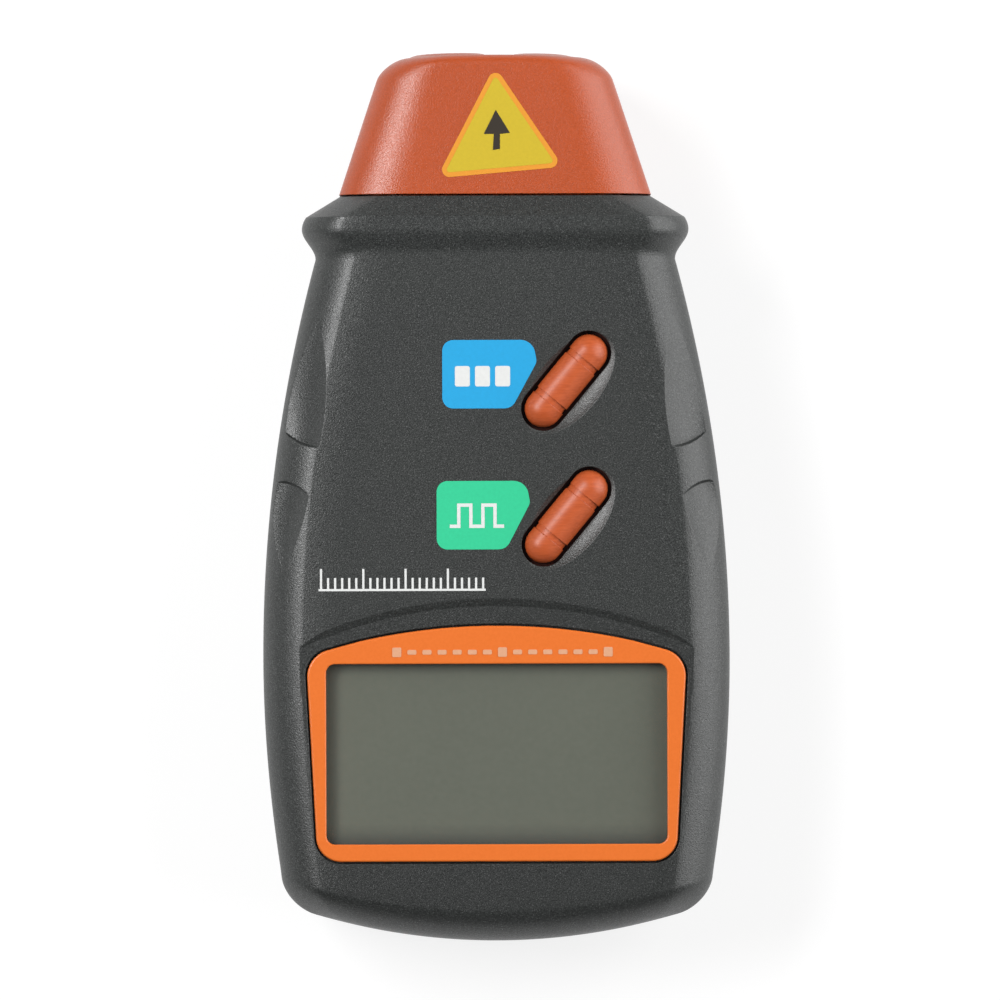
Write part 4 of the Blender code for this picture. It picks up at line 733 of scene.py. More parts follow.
def make_front_housing():
    """Upper shell with its scoops, display seat and dished button openings."""
    shell = piece("front_shell", case_half(True, FRONT_PLANE, chamfer=PARTING_CHAMFER))
    cut(shell, *[scoop(side, form) for side in (-1, 1) for form in (UPPER_SCOOP, LOWER_SCOOP)])
    cut(shell, case_half(True, FRONT_PLANE - WALL, WALL, COLLAR_Y - WALL))
    add(shell, prism(border_outline(FINE_GAP), LEDGE_FOOT, INNER_FACE + WALL / 4))
    for x, y in BUTTON_PLACES.values():
        guide = button_outline(x, y, BUTTON_FLANGE + FINE_GAP + WALL / 2)
        add(shell, prism(guide, INNER_FACE - WALL / 2, INNER_FACE + WALL / 4))
    cut(shell, display_recess())
    cut(shell, prism(border_outline(FINE_GAP), LEDGE_TOP, FACE_HEIGHT + WALL))
    cut(shell, prism(border_outline(-LEDGE_WIDTH), LEDGE_FOOT - WALL, FACE_HEIGHT + WALL))
    for x, y in BUTTON_PLACES.values():
        cut(shell, button_dish(x, y))
        cut(shell, prism(button_outline(x, y, BUTTON_GAP), INNER_FACE - WALL, FACE_HEIGHT + WALL))
        well = button_outline(x, y, BUTTON_FLANGE + FINE_GAP)
        cut(shell, prism(well, INNER_FACE - 2 * WALL, INNER_FACE))
    cut(shell, tongue_slot())
    soften(shell, angle=17)
    return shell


# Back shell

def make_back_housing():
    """Lower shell with the battery bay, the door's rails and the screw wells."""
    shell = piece("back_shell", case_half(False, BACK_PLANE, chamfer=PARTING_CHAMFER))
    cut(shell, case_half(False, BACK_PLANE + WALL, WALL, COLLAR_Y - WALL))
    start = BAY_LOW_Y - BAY_WALL
    rails = block(RAIL_X, start, DOOR_END_Y + WALL, WALL / 2, RAIL_TOP)
    add(shell, rails, block(BAY_HALF_WIDTH + BAY_WALL, start, DOOR_END_Y, WALL, BAY_TOP))
    for x, y in SCREW_PLACES:
        add(shell, prism(circle(x, y, SCREW_BOSS_RADIUS), WALL / 2, BACK_PLANE))
        cut(shell, prism(circle(x, y, SCREW_RADIUS + FINE_GAP), -WALL, BACK_PLANE + WALL))
        well = circle(x, y, SCREW_HEAD_RADIUS + FINE_GAP)
        cut(shell, prism(well, -WALL, SCREW_FOOT + SCREW_HEAD_HEIGHT + FINE_GAP))
    open_y = FOOT_Y - WALL
    slot_x = DOOR_TONGUE_X + SLIDE_GAP
    slot_foot = DOOR_SKIN_TOP - SLIDE_GAP
    slot_top = DOOR_TONGUE_TOP + SLIDE_GAP
    bay_end = DOOR_END_Y - BAY_WALL
    openings = (
        (BAY_HALF_WIDTH, BAY_LOW_Y, bay_end, -WALL, BAY_TOP + WALL),
        (DOOR_HALF_WIDTH + SLIDE_GAP, open_y, DOOR_END_Y, -WALL, DOOR_SKIN_TOP),
        (slot_x, open_y, DOOR_END_Y + WALL / 2, slot_foot, slot_top),
        (slot_x, open_y, DOOR_LIP_Y + SLIDE_GAP, -WALL, DOOR_LIP_HEIGHT + SLIDE_GAP),
        (2 * PORT_X, bay_end - WALL, DOOR_END_Y + WALL, OPTIC_HEIGHT - WALL, BAY_TOP + WALL),
    )
    cut(shell, *[block(*opening) for opening in openings], tongue_slot())
    soften(shell)
    return shell


def make_battery_door():
    """Door plate with its tongues, the lip round the foot, grip grooves and an arrow sunk into it."""
    door = piece("door_plate", case_half(False, PARTING_HEIGHT, DOOR_INSET))
    right = [
        (DOOR_TONGUE_X, FOOT_Y - WALL),
        (DOOR_TONGUE_X, DOOR_LIP_Y),
        (DOOR_HALF_WIDTH, DOOR_LIP_Y),
        (DOOR_HALF_WIDTH, DOOR_END_Y - SLIDE_GAP),
    ]
    outline = right + [(-x, y) for x, y in reversed(right)]
    combine(door, [prism(outline, -WALL, DOOR_LIP_HEIGHT)], "INTERSECT")
    cut(door, block(BODY_HALF_WIDTH, DOOR_LIP_Y, COLLAR_Y, DOOR_SKIN_TOP, FACE_HEIGHT))
    tongue_foot = DOOR_SKIN_TOP - DOOR_TONGUE_OVERLAP
    add(door, block(DOOR_TONGUE_X, BAY_LOW_Y, DOOR_HIGH.y, tongue_foot, DOOR_TONGUE_TOP))
    for i in range(5):
        y = BAY_LOW_Y + GRIP_FROM_BAY + i * GRIP_PITCH
        groove = capsule(0.0, y, GRIP_HALF_LENGTH, GRIP_RADIUS, 0.0, 10)
        cut(door, prism(groove, -WALL, DOOR_INSET + GRIP_DEPTH))
    y = BAY_LOW_Y + ARROW_FROM_BAY
    tips = ((0.0, y - ARROW_HALF_Y), (ARROW_HALF_X, y + ARROW_HALF_Y), (-ARROW_HALF_X, y + ARROW_HALF_Y))
    arrow = rounded([(*tip, ARROW_RADIUS) for tip in tips], 6)
    cut(door, prism(arrow, -WALL, DOOR_INSET + ARROW_DEPTH))
    soften(door)
    return door


def make_case_screw(number, x, y):
    """Pan-head screw, head down, with a rounded rim and a cross recess."""
    rounding = SCREW_HEAD_HEIGHT / 2
    profile = []
    for a in steps(0.0, pi / 2, 8):
        radius = SCREW_HEAD_RADIUS - rounding * (1 - sin(a))
        profile.append((radius, SCREW_FOOT + rounding * (1 - cos(a))))
    profile.append((SCREW_HEAD_RADIUS, SCREW_FOOT + SCREW_HEAD_HEIGHT))
    profile.append((SCREW_RADIUS, SCREW_FOOT + SCREW_HEAD_HEIGHT))
    profile.append((SCREW_RADIUS, SCREW_TOP - SCREW_RADIUS))
    profile.append((SCREW_RADIUS / 4, SCREW_TOP))
    screw = piece(f"screw_{number}", loft([raised(circle(x, y, radius, 48), z) for radius, z in profile]))
    arm = CROSS_HALF_WIDTH
    reach = CROSS_REACH
    cross = [(arm, arm), (arm, reach), (-arm, reach), (-arm, arm), (-reach, arm), (-reach, -arm)]
    cross += [(-u, -v) for u, v in cross]
    rings = []
    for share, depth in CROSS_ENDS:
        rings.append([(x + u * share, y + v * share, SCREW_FOOT + depth) for u, v in cross])
    cut(screw, loft(rings))
    soften(screw)
    return screw


# Nose cap

def nose_section(wide, deep, bevel_x, bevel_z):
    """Section of the nose: a rectangle whose corners are quarter ellipses."""
    quarter = []
    for a in steps(0.0, pi / 2, 14):
        quarter.append((wide - bevel_x * (1 - cos(a)), deep - bevel_z * (1 - sin(a))))
    side = [(wide, z) for z in steps(0.0, deep - bevel_z, 4)[:-1]]
    top = [(x, deep) for x in reversed(steps(0.0, wide - bevel_x, 8)[:-1])]
    first = side + quarter + top
    upper = first + [(-x, z) for x, z in reversed(first[:-1])]
    return upper + [(x, -z) for x, z in reversed(upper[1:-1])]


def port_rise(x, z):
    """How far the swelling round each port lifts the nose's end."""
    lift = 0.0
    for port_x, bore in ((-PORT_X, RECEIVER_BORE), (PORT_X, LASER_BORE)):
        radius = hypot(x - port_x, z)
        inner = bore + PORT_LIP
        lift = max(lift, PORT_BOSS_RISE * ease((PORT_BOSS_RADIUS - radius) / (PORT_BOSS_RADIUS - inner)))
    return lift


def nose_form(inset, start, end_y, shaped):
    """Tapered form of the nose, drawn in by inset. Its end swells round the ports where it is shaped."""
    corner_y = end_y - NOSE_CORNER_RADIUS
    places = steps(start, corner_y, 12)
    places += [corner_y + NOSE_CORNER_RADIUS * sin(a) for a in steps(0.0, pi / 2, 16)[1:]]
    rings = []
    for y in places:
        share = way(y, COLLAR_Y, NOSE_END_Y)
        wide = mix(NOSE_BASE_HALF_WIDTH, NOSE_END_HALF_WIDTH, share) - inset
        past = kept((y - corner_y) / NOSE_CORNER_RADIUS)
        wide -= NOSE_CORNER_RADIUS * (1 - sqrt(1 - past**2))
        last = kept((y - end_y + NOSE_END_ROUNDING) / NOSE_END_ROUNDING)
        deep = (FACE_HEIGHT - COLLAR_DROP - COLLAR_LIFT) / 2 - NOSE_SLOPE * share - inset
        deep -= NOSE_END_ROUNDING * (1 - sqrt(1 - last**2))
        bevel_x = min(NOSE_BEVEL_WIDTH - NOSE_BEVEL_TAPER * share, wide * NOSE_BEVEL_LIMIT)
        bevel_z = min(NOSE_BEVEL, deep * NOSE_BEVEL_LIMIT)
        rings.append([(x, y, z) for x, z in nose_section(wide, deep, bevel_x, bevel_z)])
    if shaped:
        for share in steps(1.0, 0.0, 20)[1:-1]:
            rings.append([(x * share, y, z * share) for x, y, z in rings[len(places) - 1]])
    shifted = []
    for ring in rings:
        row = []
        for x, y, z in ring:
            weight = ease((y - end_y + NOSE_END_LENGTH) / NOSE_END_LENGTH) if shaped else 0.0
            y += weight * (port_rise(x, z) - NOSE_END_CROWN * x * x)
            row.append((x, y, OPTIC_HEIGHT + z))
        shifted.append(row)
    return loft(shifted)


def make_nose_cap():
    """Hollow cap with swellings round its two ports, a tongue and a flange that the shells close on."""
    base_y = COLLAR_Y + FINE_GAP
    end_y = NOSE_END_Y - PORT_BOSS_RISE
    inner_end = end_y - NOSE_END_WALL
    cap = piece("nose_shell", nose_form(0.0, base_y, end_y, True))
    flange_front = COLLAR_Y - WALL - FINE_GAP
    flange_rear = flange_front - FLANGE_THICKNESS
    add(cap, bar(tongue_outline(TONGUE_INSET), flange_rear, base_y + NOSE_WALL))
    add(cap, bar(tongue_outline(TONGUE_INSET - FLANGE_STEP), flange_rear, flange_front))
    cut(cap, nose_form(NOSE_WALL, base_y + NOSE_WALL, inner_end, False))
    cut(cap, bar(tongue_outline(TONGUE_INSET + TONGUE_WALL), flange_rear - WALL, base_y + 2 * NOSE_WALL))
    for x, bore, seat in ((-PORT_X, RECEIVER_BORE, RECEIVER_SEAT), (PORT_X, LASER_BORE, LASER_SEAT)):
        socket = circle(x, OPTIC_HEIGHT, seat + SOCKET_WALL)
        add(cap, bar(socket, inner_end - SOCKET_DEPTH, inner_end + NOSE_END_WALL / 4))
        cut(cap, bar(circle(x, OPTIC_HEIGHT, seat), inner_end - 2 * SOCKET_DEPTH, inner_end))
        cut(cap, bar(circle(x, OPTIC_HEIGHT, bore), inner_end - WALL, NOSE_END_Y + WALL))
    soften(cap)
    return cap


def make_receiver_lens():
    """Plano-convex lens in the receiving port."""
    low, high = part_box("receiver_lens")
    radius = (high.x - low.x) / 2
    depth = high.y - low.y
    profile = [(0.0, 0.0), (radius - LENS_CHAMFER, 0.0), (radius, LENS_CHAMFER)]
    for share in steps(1.0, 0.0, 16):
        profile.append((radius * share, depth - LENS_CROWN + LENS_CROWN * sqrt(1 - share**2)))
    lens = piece("port_lens", turned(profile, (-PORT_X, low.y, OPTIC_HEIGHT)))
    soften(lens, angle=40)
    return lens


# Display border

def rounded_edge(rounding, top):
    """Run in from an upright side, and height, along an edge that is rounded up to top."""
    return [(rounding * (1 - cos(a)), top - rounding + rounding * sin(a)) for a in steps(0.0, pi / 2, 6)]


def make_border():
    """Border of the display, its outer edge and the edge of its window rounded."""
    top = BORDER_HIGH.z
    rings = [raised(border_outline(), BORDER_LOW.z)]
    rings += [raised(border_outline(-run), z) for run, z in rounded_edge(BORDER_ROUNDING, top)]
    border = piece("border", loft(rings))
    edge = rounded_edge(WINDOW_ROUNDING, top)
    rings = []
    for run, z in [(0.0, BORDER_LOW.z - WALL), *edge, (2 * WINDOW_ROUNDING, top + WALL)]:
        window = rectangle(0.0, DISPLAY_Y, WINDOW_HALF_X + run, WINDOW_HALF_Y + run, WINDOW_RADIUS + run)
        rings.append(raised(window, z))
    cut(border, loft(rings))
    soften(border, angle=40)
    return border


# Push buttons

def groove_cutter(middle, along, spring_line):
    """Cutter for a cross groove: an arch over the button's long axis, with straight legs down its sides."""
    across = Vector((-along.y, along.x))
    half = GROOVE_WIDTH / 2
    floor = half * GROOVE_FLOOR_SHARE
    edges = ((-half, WALL), (half, WALL), (floor, -GROOVE_DEPTH), (-floor, -GROOVE_DEPTH))
    path = [(1.0, -GROOVE_WIDTH)]
    path += [(cos(a), BUTTON_RADIUS * sin(a)) for a in steps(0.0, pi, 40)]
    path.append((-1.0, -GROOVE_WIDTH))
    rings = []
    for share, rise in path:
        ring = []
        for u, reach in edges:
            place = middle + along * u + across * (BUTTON_RADIUS + reach) * share
            lift = rise * (BUTTON_RADIUS + reach) / BUTTON_RADIUS if rise > 0 else rise
            ring.append((place.x, place.y, spring_line + lift))
        rings.append(ring)
    return loft(rings)


def make_button(node, x, y):
    """Capsule button with a half-round top, two cross grooves, a flange and a stem."""
    low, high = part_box(node)
    foot = INNER_FACE - FINE_GAP - BUTTON_FLANGE_THICKNESS
    spring_line = high.z - BUTTON_RADIUS
    rings = [raised(button_outline(x, y), foot)]
    for a in steps(0.0, radians(89), 20):
        outline = button_outline(x, y, -BUTTON_RADIUS * (1 - cos(a)))
        rings.append(raised(outline, spring_line + BUTTON_RADIUS * sin(a)))
    button = piece(node.replace("button", "key"), loft(rings))
    add(button, prism(button_outline(x, y, BUTTON_FLANGE), foot, foot + BUTTON_FLANGE_THICKNESS))
    stem = circle(x, y, BUTTON_STEM_RADIUS, 32)
    add(button, prism(stem, low.z, foot + BUTTON_FLANGE_THICKNESS / 2))
    along = Vector((cos(BUTTON_ANGLE), sin(BUTTON_ANGLE)))
    for side in (-1, 1):
        middle = Vector((x, y)) + along * side * GROOVE_FROM_CENTRE
        cut(button, groove_cutter(middle, along, spring_line))
    soften(button, angle=30)
    return button


# Printed films: they lie on what carries them

def skin_of(obj):
    """Tree for finding the surface of an object from above."""
    bm = bmesh.new()
    bm.from_mesh(obj.data)
    tree = BVHTree.FromBMesh(bm)
    bm.free()
    return tree


def film(name, outlines, skin, lift, thickness):
    """Thin films that follow the surface below them."""
    whole = bmesh.new()
    for outline in outlines:
        bm = bmesh.new()
        bm.faces.new([bm.verts.new(point) for point in raised(outline, 0.0)])
        for axis in (0, 1):
            normal = Vector((0.0, 0.0, 0.0))
            normal[axis] = 1.0
            low = min(point[axis] for point in outline)
            high = max(point[axis] for point in outline)
            count = max(int((high - low) / FILM_PITCH), 1)
            for place in steps(low, high, count)[1:-1]:
                geometry = list(bm.verts) + list(bm.edges) + list(bm.faces)
                bmesh.ops.bisect_plane(bm, geom=geometry, plane_co=normal * place, plane_no=normal)
        bmesh.ops.triangulate(bm, faces=bm.faces)
        for vert in bm.verts:
            hit = skin.ray_cast(Vector((vert.co.x, vert.co.y, 1.0)), Vector((0.0, 0.0, -1.0)))[0]
            vert.co.z = hit.z + lift
        extruded = bmesh.ops.extrude_face_region(bm, geom=list(bm.faces))["geom"]
        risen = [item for item in extruded if isinstance(item, bmesh.types.BMVert)]
        bmesh.ops.translate(bm, verts=risen, vec=(0.0, 0.0, thickness))
        mesh = bpy.data.meshes.new("part")
        facing_out(bm).to_mesh(mesh)
        bm.free()
        whole.from_mesh(mesh)
        bpy.data.meshes.remove(mesh)
    obj = piece(name, whole)
    obj.data.shade_smooth()
    obj.data.set_sharp_from_angle(angle=radians(40))
    return obj


def pixel(x, y):
    """Place on the face under a point of the picture."""
    return ((x - MIDDLE_PIXEL) * PIXEL, (MIDDLE_PIXEL - y) * PIXEL)


def pad_outline(left, right, top, low, slant):
    """Outline of a label beside a button: its right side slants in towards its foot."""
    corners = [
        (*pixel(left, low), 0.0016),
        (*pixel(slant, low), 0.0018),
        (*pixel(right, top + 22), 0.0014),
        (*pixel(right - 4, top), 0.0022),
        (*pixel(left, top), 0.0016),
    ]
    return rounded(corners, 8)


def stroke(points, width):
    """Outline of a line of the given width through points, with square ends."""
    left = []
    right = []
    for i, point in enumerate(points):
        here = Vector(point)
        before = Vector(points[max(i - 1, 0)])
        after = Vector(points[min(i + 1, len(points) - 1)])
        one = (here - before).normalized() if i > 0 else (after - here).normalized()
        two = (after - here).normalized() if i < len(points) - 1 else one
        normal = Vector((-one.y - two.y, one.x + two.x)).normalized()
        reach = width / 2 / max(normal.dot(Vector((-one.y, one.x))), 0.5)
        left.append(tuple(here + normal * reach))
        right.append(tuple(here - normal * reach))
    return right + list(reversed(left))


# Camera, floor and light

def make_camera():
    """Long lens straight above the face."""
    data = bpy.data.cameras.new("camera")
    data.sensor_width = SENSOR_WIDTH
    data.lens = SENSOR_WIDTH * CAMERA_DISTANCE / (PIXEL * IMAGE_SIZE)
    data.clip_start = 0.01
    data.clip_end = 10.0
    camera = linked("camera", data)
    camera.location = (CAMERA_X, CAMERA_Y, FOCUS_HEIGHT + CAMERA_DISTANCE)
    camera.rotation_euler = (0.0, 0.0, CAMERA_ROLL)
    bpy.context.scene.camera = camera


def make_lamp(name, azimuth, elevation, size, radiance):
    """Soft rectangular lamp that shines on the object. Azimuth runs from +X towards +Y."""
    data = bpy.data.lights.new(name, "AREA")
    data.shape = "RECTANGLE"
    data.size, data.size_y = size
    data.energy = radiance * pi * size[0] * size[1]
    turn = radians(azimuth)
    rise = radians(elevation)
    aim = Vector((cos(turn) * cos(rise), sin(turn) * cos(rise), sin(rise)))
    lamp = linked(name, data)
    lamp.location = aim * LAMP_DISTANCE
    lamp.rotation_euler = aim.to_track_quat("Z", "Y").to_euler()
    lamp.visible_camera = False


def make_stage():
    """White floor, surroundings that are white low down and dim above, and a lamp on both sides."""
    scene = bpy.context.scene
    scene.view_settings.view_transform = "Standard"
    world = bpy.data.worlds.new("studio")
    world.use_nodes = True
    tree = world.node_tree
    tree.nodes.clear()
    rise = axes(tree, node_of(tree, "TexCoord", {}).outputs["Generated"])[2]
    sky = ramp(tree, rise, [(0.04, grey(1.0)), (0.10, grey(SKY_TONE))])
    background = node_of(tree, "Background", {"Color": sky})
    node_of(tree, "OutputWorld", {"Surface": background.outputs["Background"]})
    scene.world = world
    floor = piece("floor", block(FLOOR_REACH, -FLOOR_REACH, FLOOR_REACH, FLOOR_FOOT, FLOOR_TOP))
    floor.data.materials.append(floor_material())
    make_lamp("left_lamp", azimuth=155, elevation=50, size=(0.53, 0.27), radiance=16.5)
    make_lamp("right_lamp", azimuth=14, elevation=27, size=(1.0, 0.9), radiance=3.5)


def floor_material():
    """Pale floor that stays white to the camera and in reflections, and still takes the soft shadow."""
    finish = bpy.data.materials.new("floor")
    finish.use_nodes = True
    tree = finish.node_tree
    tree.nodes.clear()
    rays = node_of(tree, "LightPath", {}).outputs
    seen = value_of(tree, "MAXIMUM", rays["Is Camera Ray"], rays["Is Glossy Ray"])
    seen = value_of(tree, "MAXIMUM", seen, rays["Is Transmission Ray"])
    strength = value_of(tree, "MULTIPLY", seen, FLOOR_GLOW)
    glow = node_of(tree, "Emission", {"Color": grey(1.0), "Strength": strength})
    diffuse = node_of(tree, "BsdfDiffuse", {"Color": grey(FLOOR_TONE)})
    both = node_of(tree, "AddShader", {0: diffuse.outputs["BSDF"], 1: glow.outputs["Emission"]})
    node_of(tree, "OutputMaterial", {"Surface": both.outputs["Shader"]})
    return finish


# Nodes of a finish

def fill(tree, node, values):
    """Values on a node's inputs. Another node's output is linked, and a colour gets its alpha."""
    for key, value in values.items():
        socket = node.inputs[key]
        if isinstance(value, bpy.types.NodeSocket):
            tree.links.new(value, socket)
        else:
            socket.default_value = (*value, 1.0) if socket.type == "RGBA" else value


def node_of(tree, kind, values):
    """New node with values on its inputs, given by name or number."""
    node = tree.nodes.new("ShaderNode" + kind)
    fill(tree, node, values)
    return node


def shader_of(name):
    """New finish, with its tree and its main shader."""
    finish = bpy.data.materials.new(name)
    finish.use_nodes = True
    return finish, finish.node_tree, finish.node_tree.nodes["Principled BSDF"]


def object_place(tree, scale=(1.0, 1.0, 1.0), turn=0.0):
    """Place on the object, stretched and turned."""
    place = node_of(tree, "TexCoord", {}).outputs["Object"]
    values = {"Vector": place, "Scale": scale, "Rotation": (0.0, 0.0, turn)}
    return node_of(tree, "Mapping", values).outputs["Vector"]


def axes(tree, vector):
    """The three values of a vector."""
    return node_of(tree, "SeparateXYZ", {"Vector": vector}).outputs


def value_of(tree, operation, one, two):
    """Result of a sum on two values."""
    node = node_of(tree, "Math", {0: one, 1: two})
    node.operation = operation
    return node.outputs["Value"]


def spread(tree, value, low, high):
    """Value brought from the range low to high to the range 0 to 1."""
    return node_of(tree, "MapRange", {"Value": value, "From Min": low, "From Max": high}).outputs["Result"]


def noise(tree, vector, scale, detail=2.0):
    """Soft random pattern."""
    return node_of(tree, "TexNoise", {"Vector": vector, "Scale": scale, "Detail": detail}).outputs["Fac"]


def ramp(tree, factor, stops):
    """Colours or tones by a factor. stops lists (place, colour)."""
    node = node_of(tree, "ValToRGB", {"Fac": factor})
    elements = node.color_ramp.elements
    while len(elements) < len(stops):
        elements.new(0.5)
    for element, (place, colour) in zip(elements, stops):
        element.position = place
        element.color = (*colour, 1.0)
    return node.outputs["Color"]


def mottle(tree, pattern, one, two):
    """Two colours by a random pattern."""
    return ramp(tree, pattern, [(0.3, one), (0.7, two)])


def grey(value):
    """The same value three times over."""
    return (value, value, value)


def times(colour, factor):
    """Colour made lighter or darker."""
    return tuple(min(c * factor, 1.0) for c in colour)


def blended(tree, kind, factor, one, two):
    """Mix of two colours."""
    node = tree.nodes.new("ShaderNodeMix")
    node.data_type = "RGBA"
    node.blend_type = kind
    fill(tree, node, {0: factor, 6: one, 7: two})
    return node.outputs[2]


def shaded(tree, colour, shade, factor=1.0):
    """Colour multiplied by a shade."""
    return blended(tree, "MULTIPLY", factor, colour, shade)


def bumped(tree, height, strength, distance=0.00003, edge=0.0):
    """Normal with a fine relief, softened along edges by a radius."""
    values = {"Strength": strength, "Distance": distance, "Height": height}
    if edge:
        soft = node_of(tree, "Bevel", {"Radius": edge})
        soft.samples = 6
        values["Normal"] = soft.outputs["Normal"]
    return node_of(tree, "Bump", values).outputs["Normal"]


# Finishes

def moulded(name, colour, roughness, tone=0.1, relief=0.3, specks=0.0, edge=0.0002, shine=0.5):
    """Moulded plastic: a fine grained surface with a slight drift of tone."""
    finish, tree, shader = shader_of(name)
    place = object_place(tree)
    fine = noise(tree, place, GRAIN)
    colours = mottle(tree, fine, times(colour, 1 - tone), times(colour, 1 + tone))
    base = shaded(tree, colours, mottle(tree, noise(tree, place, 70.0, 3.0), grey(0.95), grey(1.0)))
    if specks:
        spots = ramp(tree, noise(tree, place, GRAIN * 1.3, 1.0), [(0.58, grey(0.0)), (0.74, grey(1.0))])
        base = blended(tree, "ADD", specks, base, shaded(tree, spots, grey(0.25)))
    dull = mottle(tree, noise(tree, place, GRAIN * 0.6), grey(roughness - 0.05), grey(roughness + 0.05))
    normal = bumped(tree, fine, relief, 0.00005, edge)
    values = {"Base Color": base, "Roughness": dull, "Specular IOR Level": shine, "Normal": normal}
    fill(tree, shader, values)
    return finish


def housing_plastic():
    """Grained dark plastic of the case, with a painted shade that darkens its face where it is sunk round the
    display.
    """
    finish = moulded("housing", HOUSING_COLOUR, 0.38, tone=0.62, relief=1.0, specks=0.3, shine=0.6)
    tree = finish.node_tree
    shader = tree.nodes["Principled BSDF"]
    # Painted shade: the base colour goes down to 0.8 on the flat sunken face below the recess arc
    x, y, z = axes(tree, object_place(tree))
    sag = value_of(tree, "MULTIPLY", value_of(tree, "MULTIPLY", x, x), 0.5 / RECESS_ARC_RADIUS)
    from_arc = value_of(tree, "ADD", y, sag)
    below = spread(tree, from_arc, RECESS_EDGE_Y + RECESS_SLOPE, RECESS_EDGE_Y - RECESS_SLOPE)
    flat = spread(tree, z, FACE_HEIGHT - 3.5 * RECESS_DEPTH, FACE_HEIGHT - 1.2 * RECESS_DEPTH)
    base = shader.inputs["Base Color"].links[0].from_socket
    sunk = value_of(tree, "MULTIPLY", below, flat)
    fill(tree, shader, {"Base Color": shaded(tree, base, grey(0.80), sunk)})
    return finish


def key_plastic():
    """Smooth orange plastic of the buttons: faint streaks along them, and a painted shade that darkens them
    down in their openings.
    """
    finish, tree, shader = shader_of("button")
    streaks = noise(tree, object_place(tree, (0.12, 1.0, 0.5), -BUTTON_ANGLE), 4200.0)
    colours = mottle(tree, streaks, (0.45, 0.078, 0.018), (0.54, 0.105, 0.028))
    # Painted shade: the colour goes down to a dark red near the foot of each button, where its opening is in
    # shade
    height = axes(tree, object_place(tree))[2]
    depth = spread(tree, height, KEY_PAINTED_SHADE_FOOT, KEY_PAINTED_SHADE_TOP)
    base = shaded(tree, colours, ramp(tree, depth, [(0.0, (0.12, 0.06, 0.05)), (1.0, grey(1.0))]))
    normal = bumped(tree, noise(tree, object_place(tree), 5200.0), 0.15, 0.00004, 0.00012)
    fill(tree, shader, {"Base Color": base, "Roughness": 0.42, "Normal": normal})
    return finish


def smooth(name, scale, dark, pale, roughness, relief=0.0, edge=0.0, alpha=1.0):
    """Smooth surface with a faint mottle."""
    finish, tree, shader = shader_of(name)
    fine = noise(tree, object_place(tree), scale)
    values = {"Base Color": mottle(tree, fine, dark, pale), "Roughness": roughness, "Alpha": alpha}
    if relief:
        values["Normal"] = bumped(tree, fine, relief, edge=edge)
    fill(tree, shader, values)
    return finish


def display_glass():
    """Grey-green liquid crystal glass with a faint mottle, and a painted shade along its foot."""
    finish, tree, shader = shader_of("lcd")
    place = object_place(tree)
    fine = noise(tree, place, 1400.0, 3.0)
    colours = mottle(tree, fine, (0.088, 0.094, 0.067), (0.097, 0.103, 0.075))
    base = shaded(tree, colours, mottle(tree, noise(tree, place, 40.0), grey(0.94), grey(1.0)))
    # Painted shade: a dark band along the foot of the glass, down to 0.3 at its edge
    foot = DISPLAY_Y - WINDOW_HALF_Y
    rise = spread(tree, axes(tree, place)[1], foot, foot + LCD_FOOT_PAINTED_SHADE)
    band = ramp(tree, rise, [(0.0, grey(0.30)), (0.3, grey(0.5)), (0.55, grey(0.75)), (1.0, grey(1.0))])
    normal = bumped(tree, fine, 0.05, 0.00002)
    fill(tree, shader, {"Base Color": shaded(tree, base, band), "Roughness": 0.32, "Normal": normal})
    return finish


def clear_plastic(name, alpha, roughness, tint):
    """Clear moulded plastic or glass, seen through, with a faint haze."""
    return smooth(name, 900.0, times(tint, 0.94), tint, roughness, alpha=alpha)


def board_finish():
    """Circuit board: green solder mask over thin lighter tracks."""
    finish, tree, shader = shader_of("circuit_board")
    cells = node_of(tree, "TexVoronoi", {"Vector": object_place(tree), "Scale": 420.0})
    cells.feature = "DISTANCE_TO_EDGE"
    edges = cells.outputs["Distance"]
    base = ramp(tree, edges, [(0.05, (0.055, 0.25, 0.10)), (0.09, (0.012, 0.12, 0.045))])
    fill(tree, shader, {"Base Color": base, "Roughness": 0.35, "Normal": bumped(tree, edges, 0.2, 0.00004)})
    return finish


def metal(name, colour, roughness):
    """Metal with fine drawn lines."""
    finish, tree, shader = shader_of(name)
    lines = noise(tree, object_place(tree, (1.0, 0.08, 1.0)), 6000.0)
    base = mottle(tree, lines, times(colour, 0.8), colour)
    dull = mottle(tree, lines, grey(roughness), grey(roughness + 0.12))
    normal = bumped(tree, lines, 0.1)
    fill(tree, shader, {"Base Color": base, "Roughness": dull, "Metallic": 1.0, "Normal": normal})
    return finish


def strip_rubber():
    """Contact strip: fine conducting layers across its length."""
    finish, tree, shader = shader_of("contact_rubber")
    layers = node_of(tree, "TexWave", {"Vector": object_place(tree), "Scale": 900.0})
    layers.bands_direction = "X"
    base = ramp(tree, layers.outputs["Fac"], [(0.35, (0.03, 0.02, 0.02)), (0.6, (0.36, 0.13, 0.15))])
    fill(tree, shader, {"Base Color": base, "Roughness": 0.7})
    return finish


def battery_jacket():
    """Printed jacket of the battery: dark, with a pale band near its terminals."""
    finish, tree, shader = shader_of("battery_can")
    low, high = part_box("battery")
    along = spread(tree, axes(tree, object_place(tree))[1], low.y, high.y)
    dark = (0.022, 0.035, 0.060)
    pale = (0.48, 0.50, 0.50)
    stops = [(0.0, pale), (0.022, dark), (0.70, dark), (0.705, pale), (0.745, dark)]
    stops += [(0.925, dark), (0.93, pale)]
    fine = noise(tree, object_place(tree), 1800.0)
    base = shaded(tree, ramp(tree, along, stops), mottle(tree, fine, grey(0.93), grey(1.0)))
    fill(tree, shader, {"Base Color": base, "Roughness": 0.3, "Normal": bumped(tree, fine, 0.05)})
    return finish


def printed(name, colour):
    """Printed film."""
    return smooth(name, 2200.0, times(colour, 0.95), colour, 0.42, 0.06)


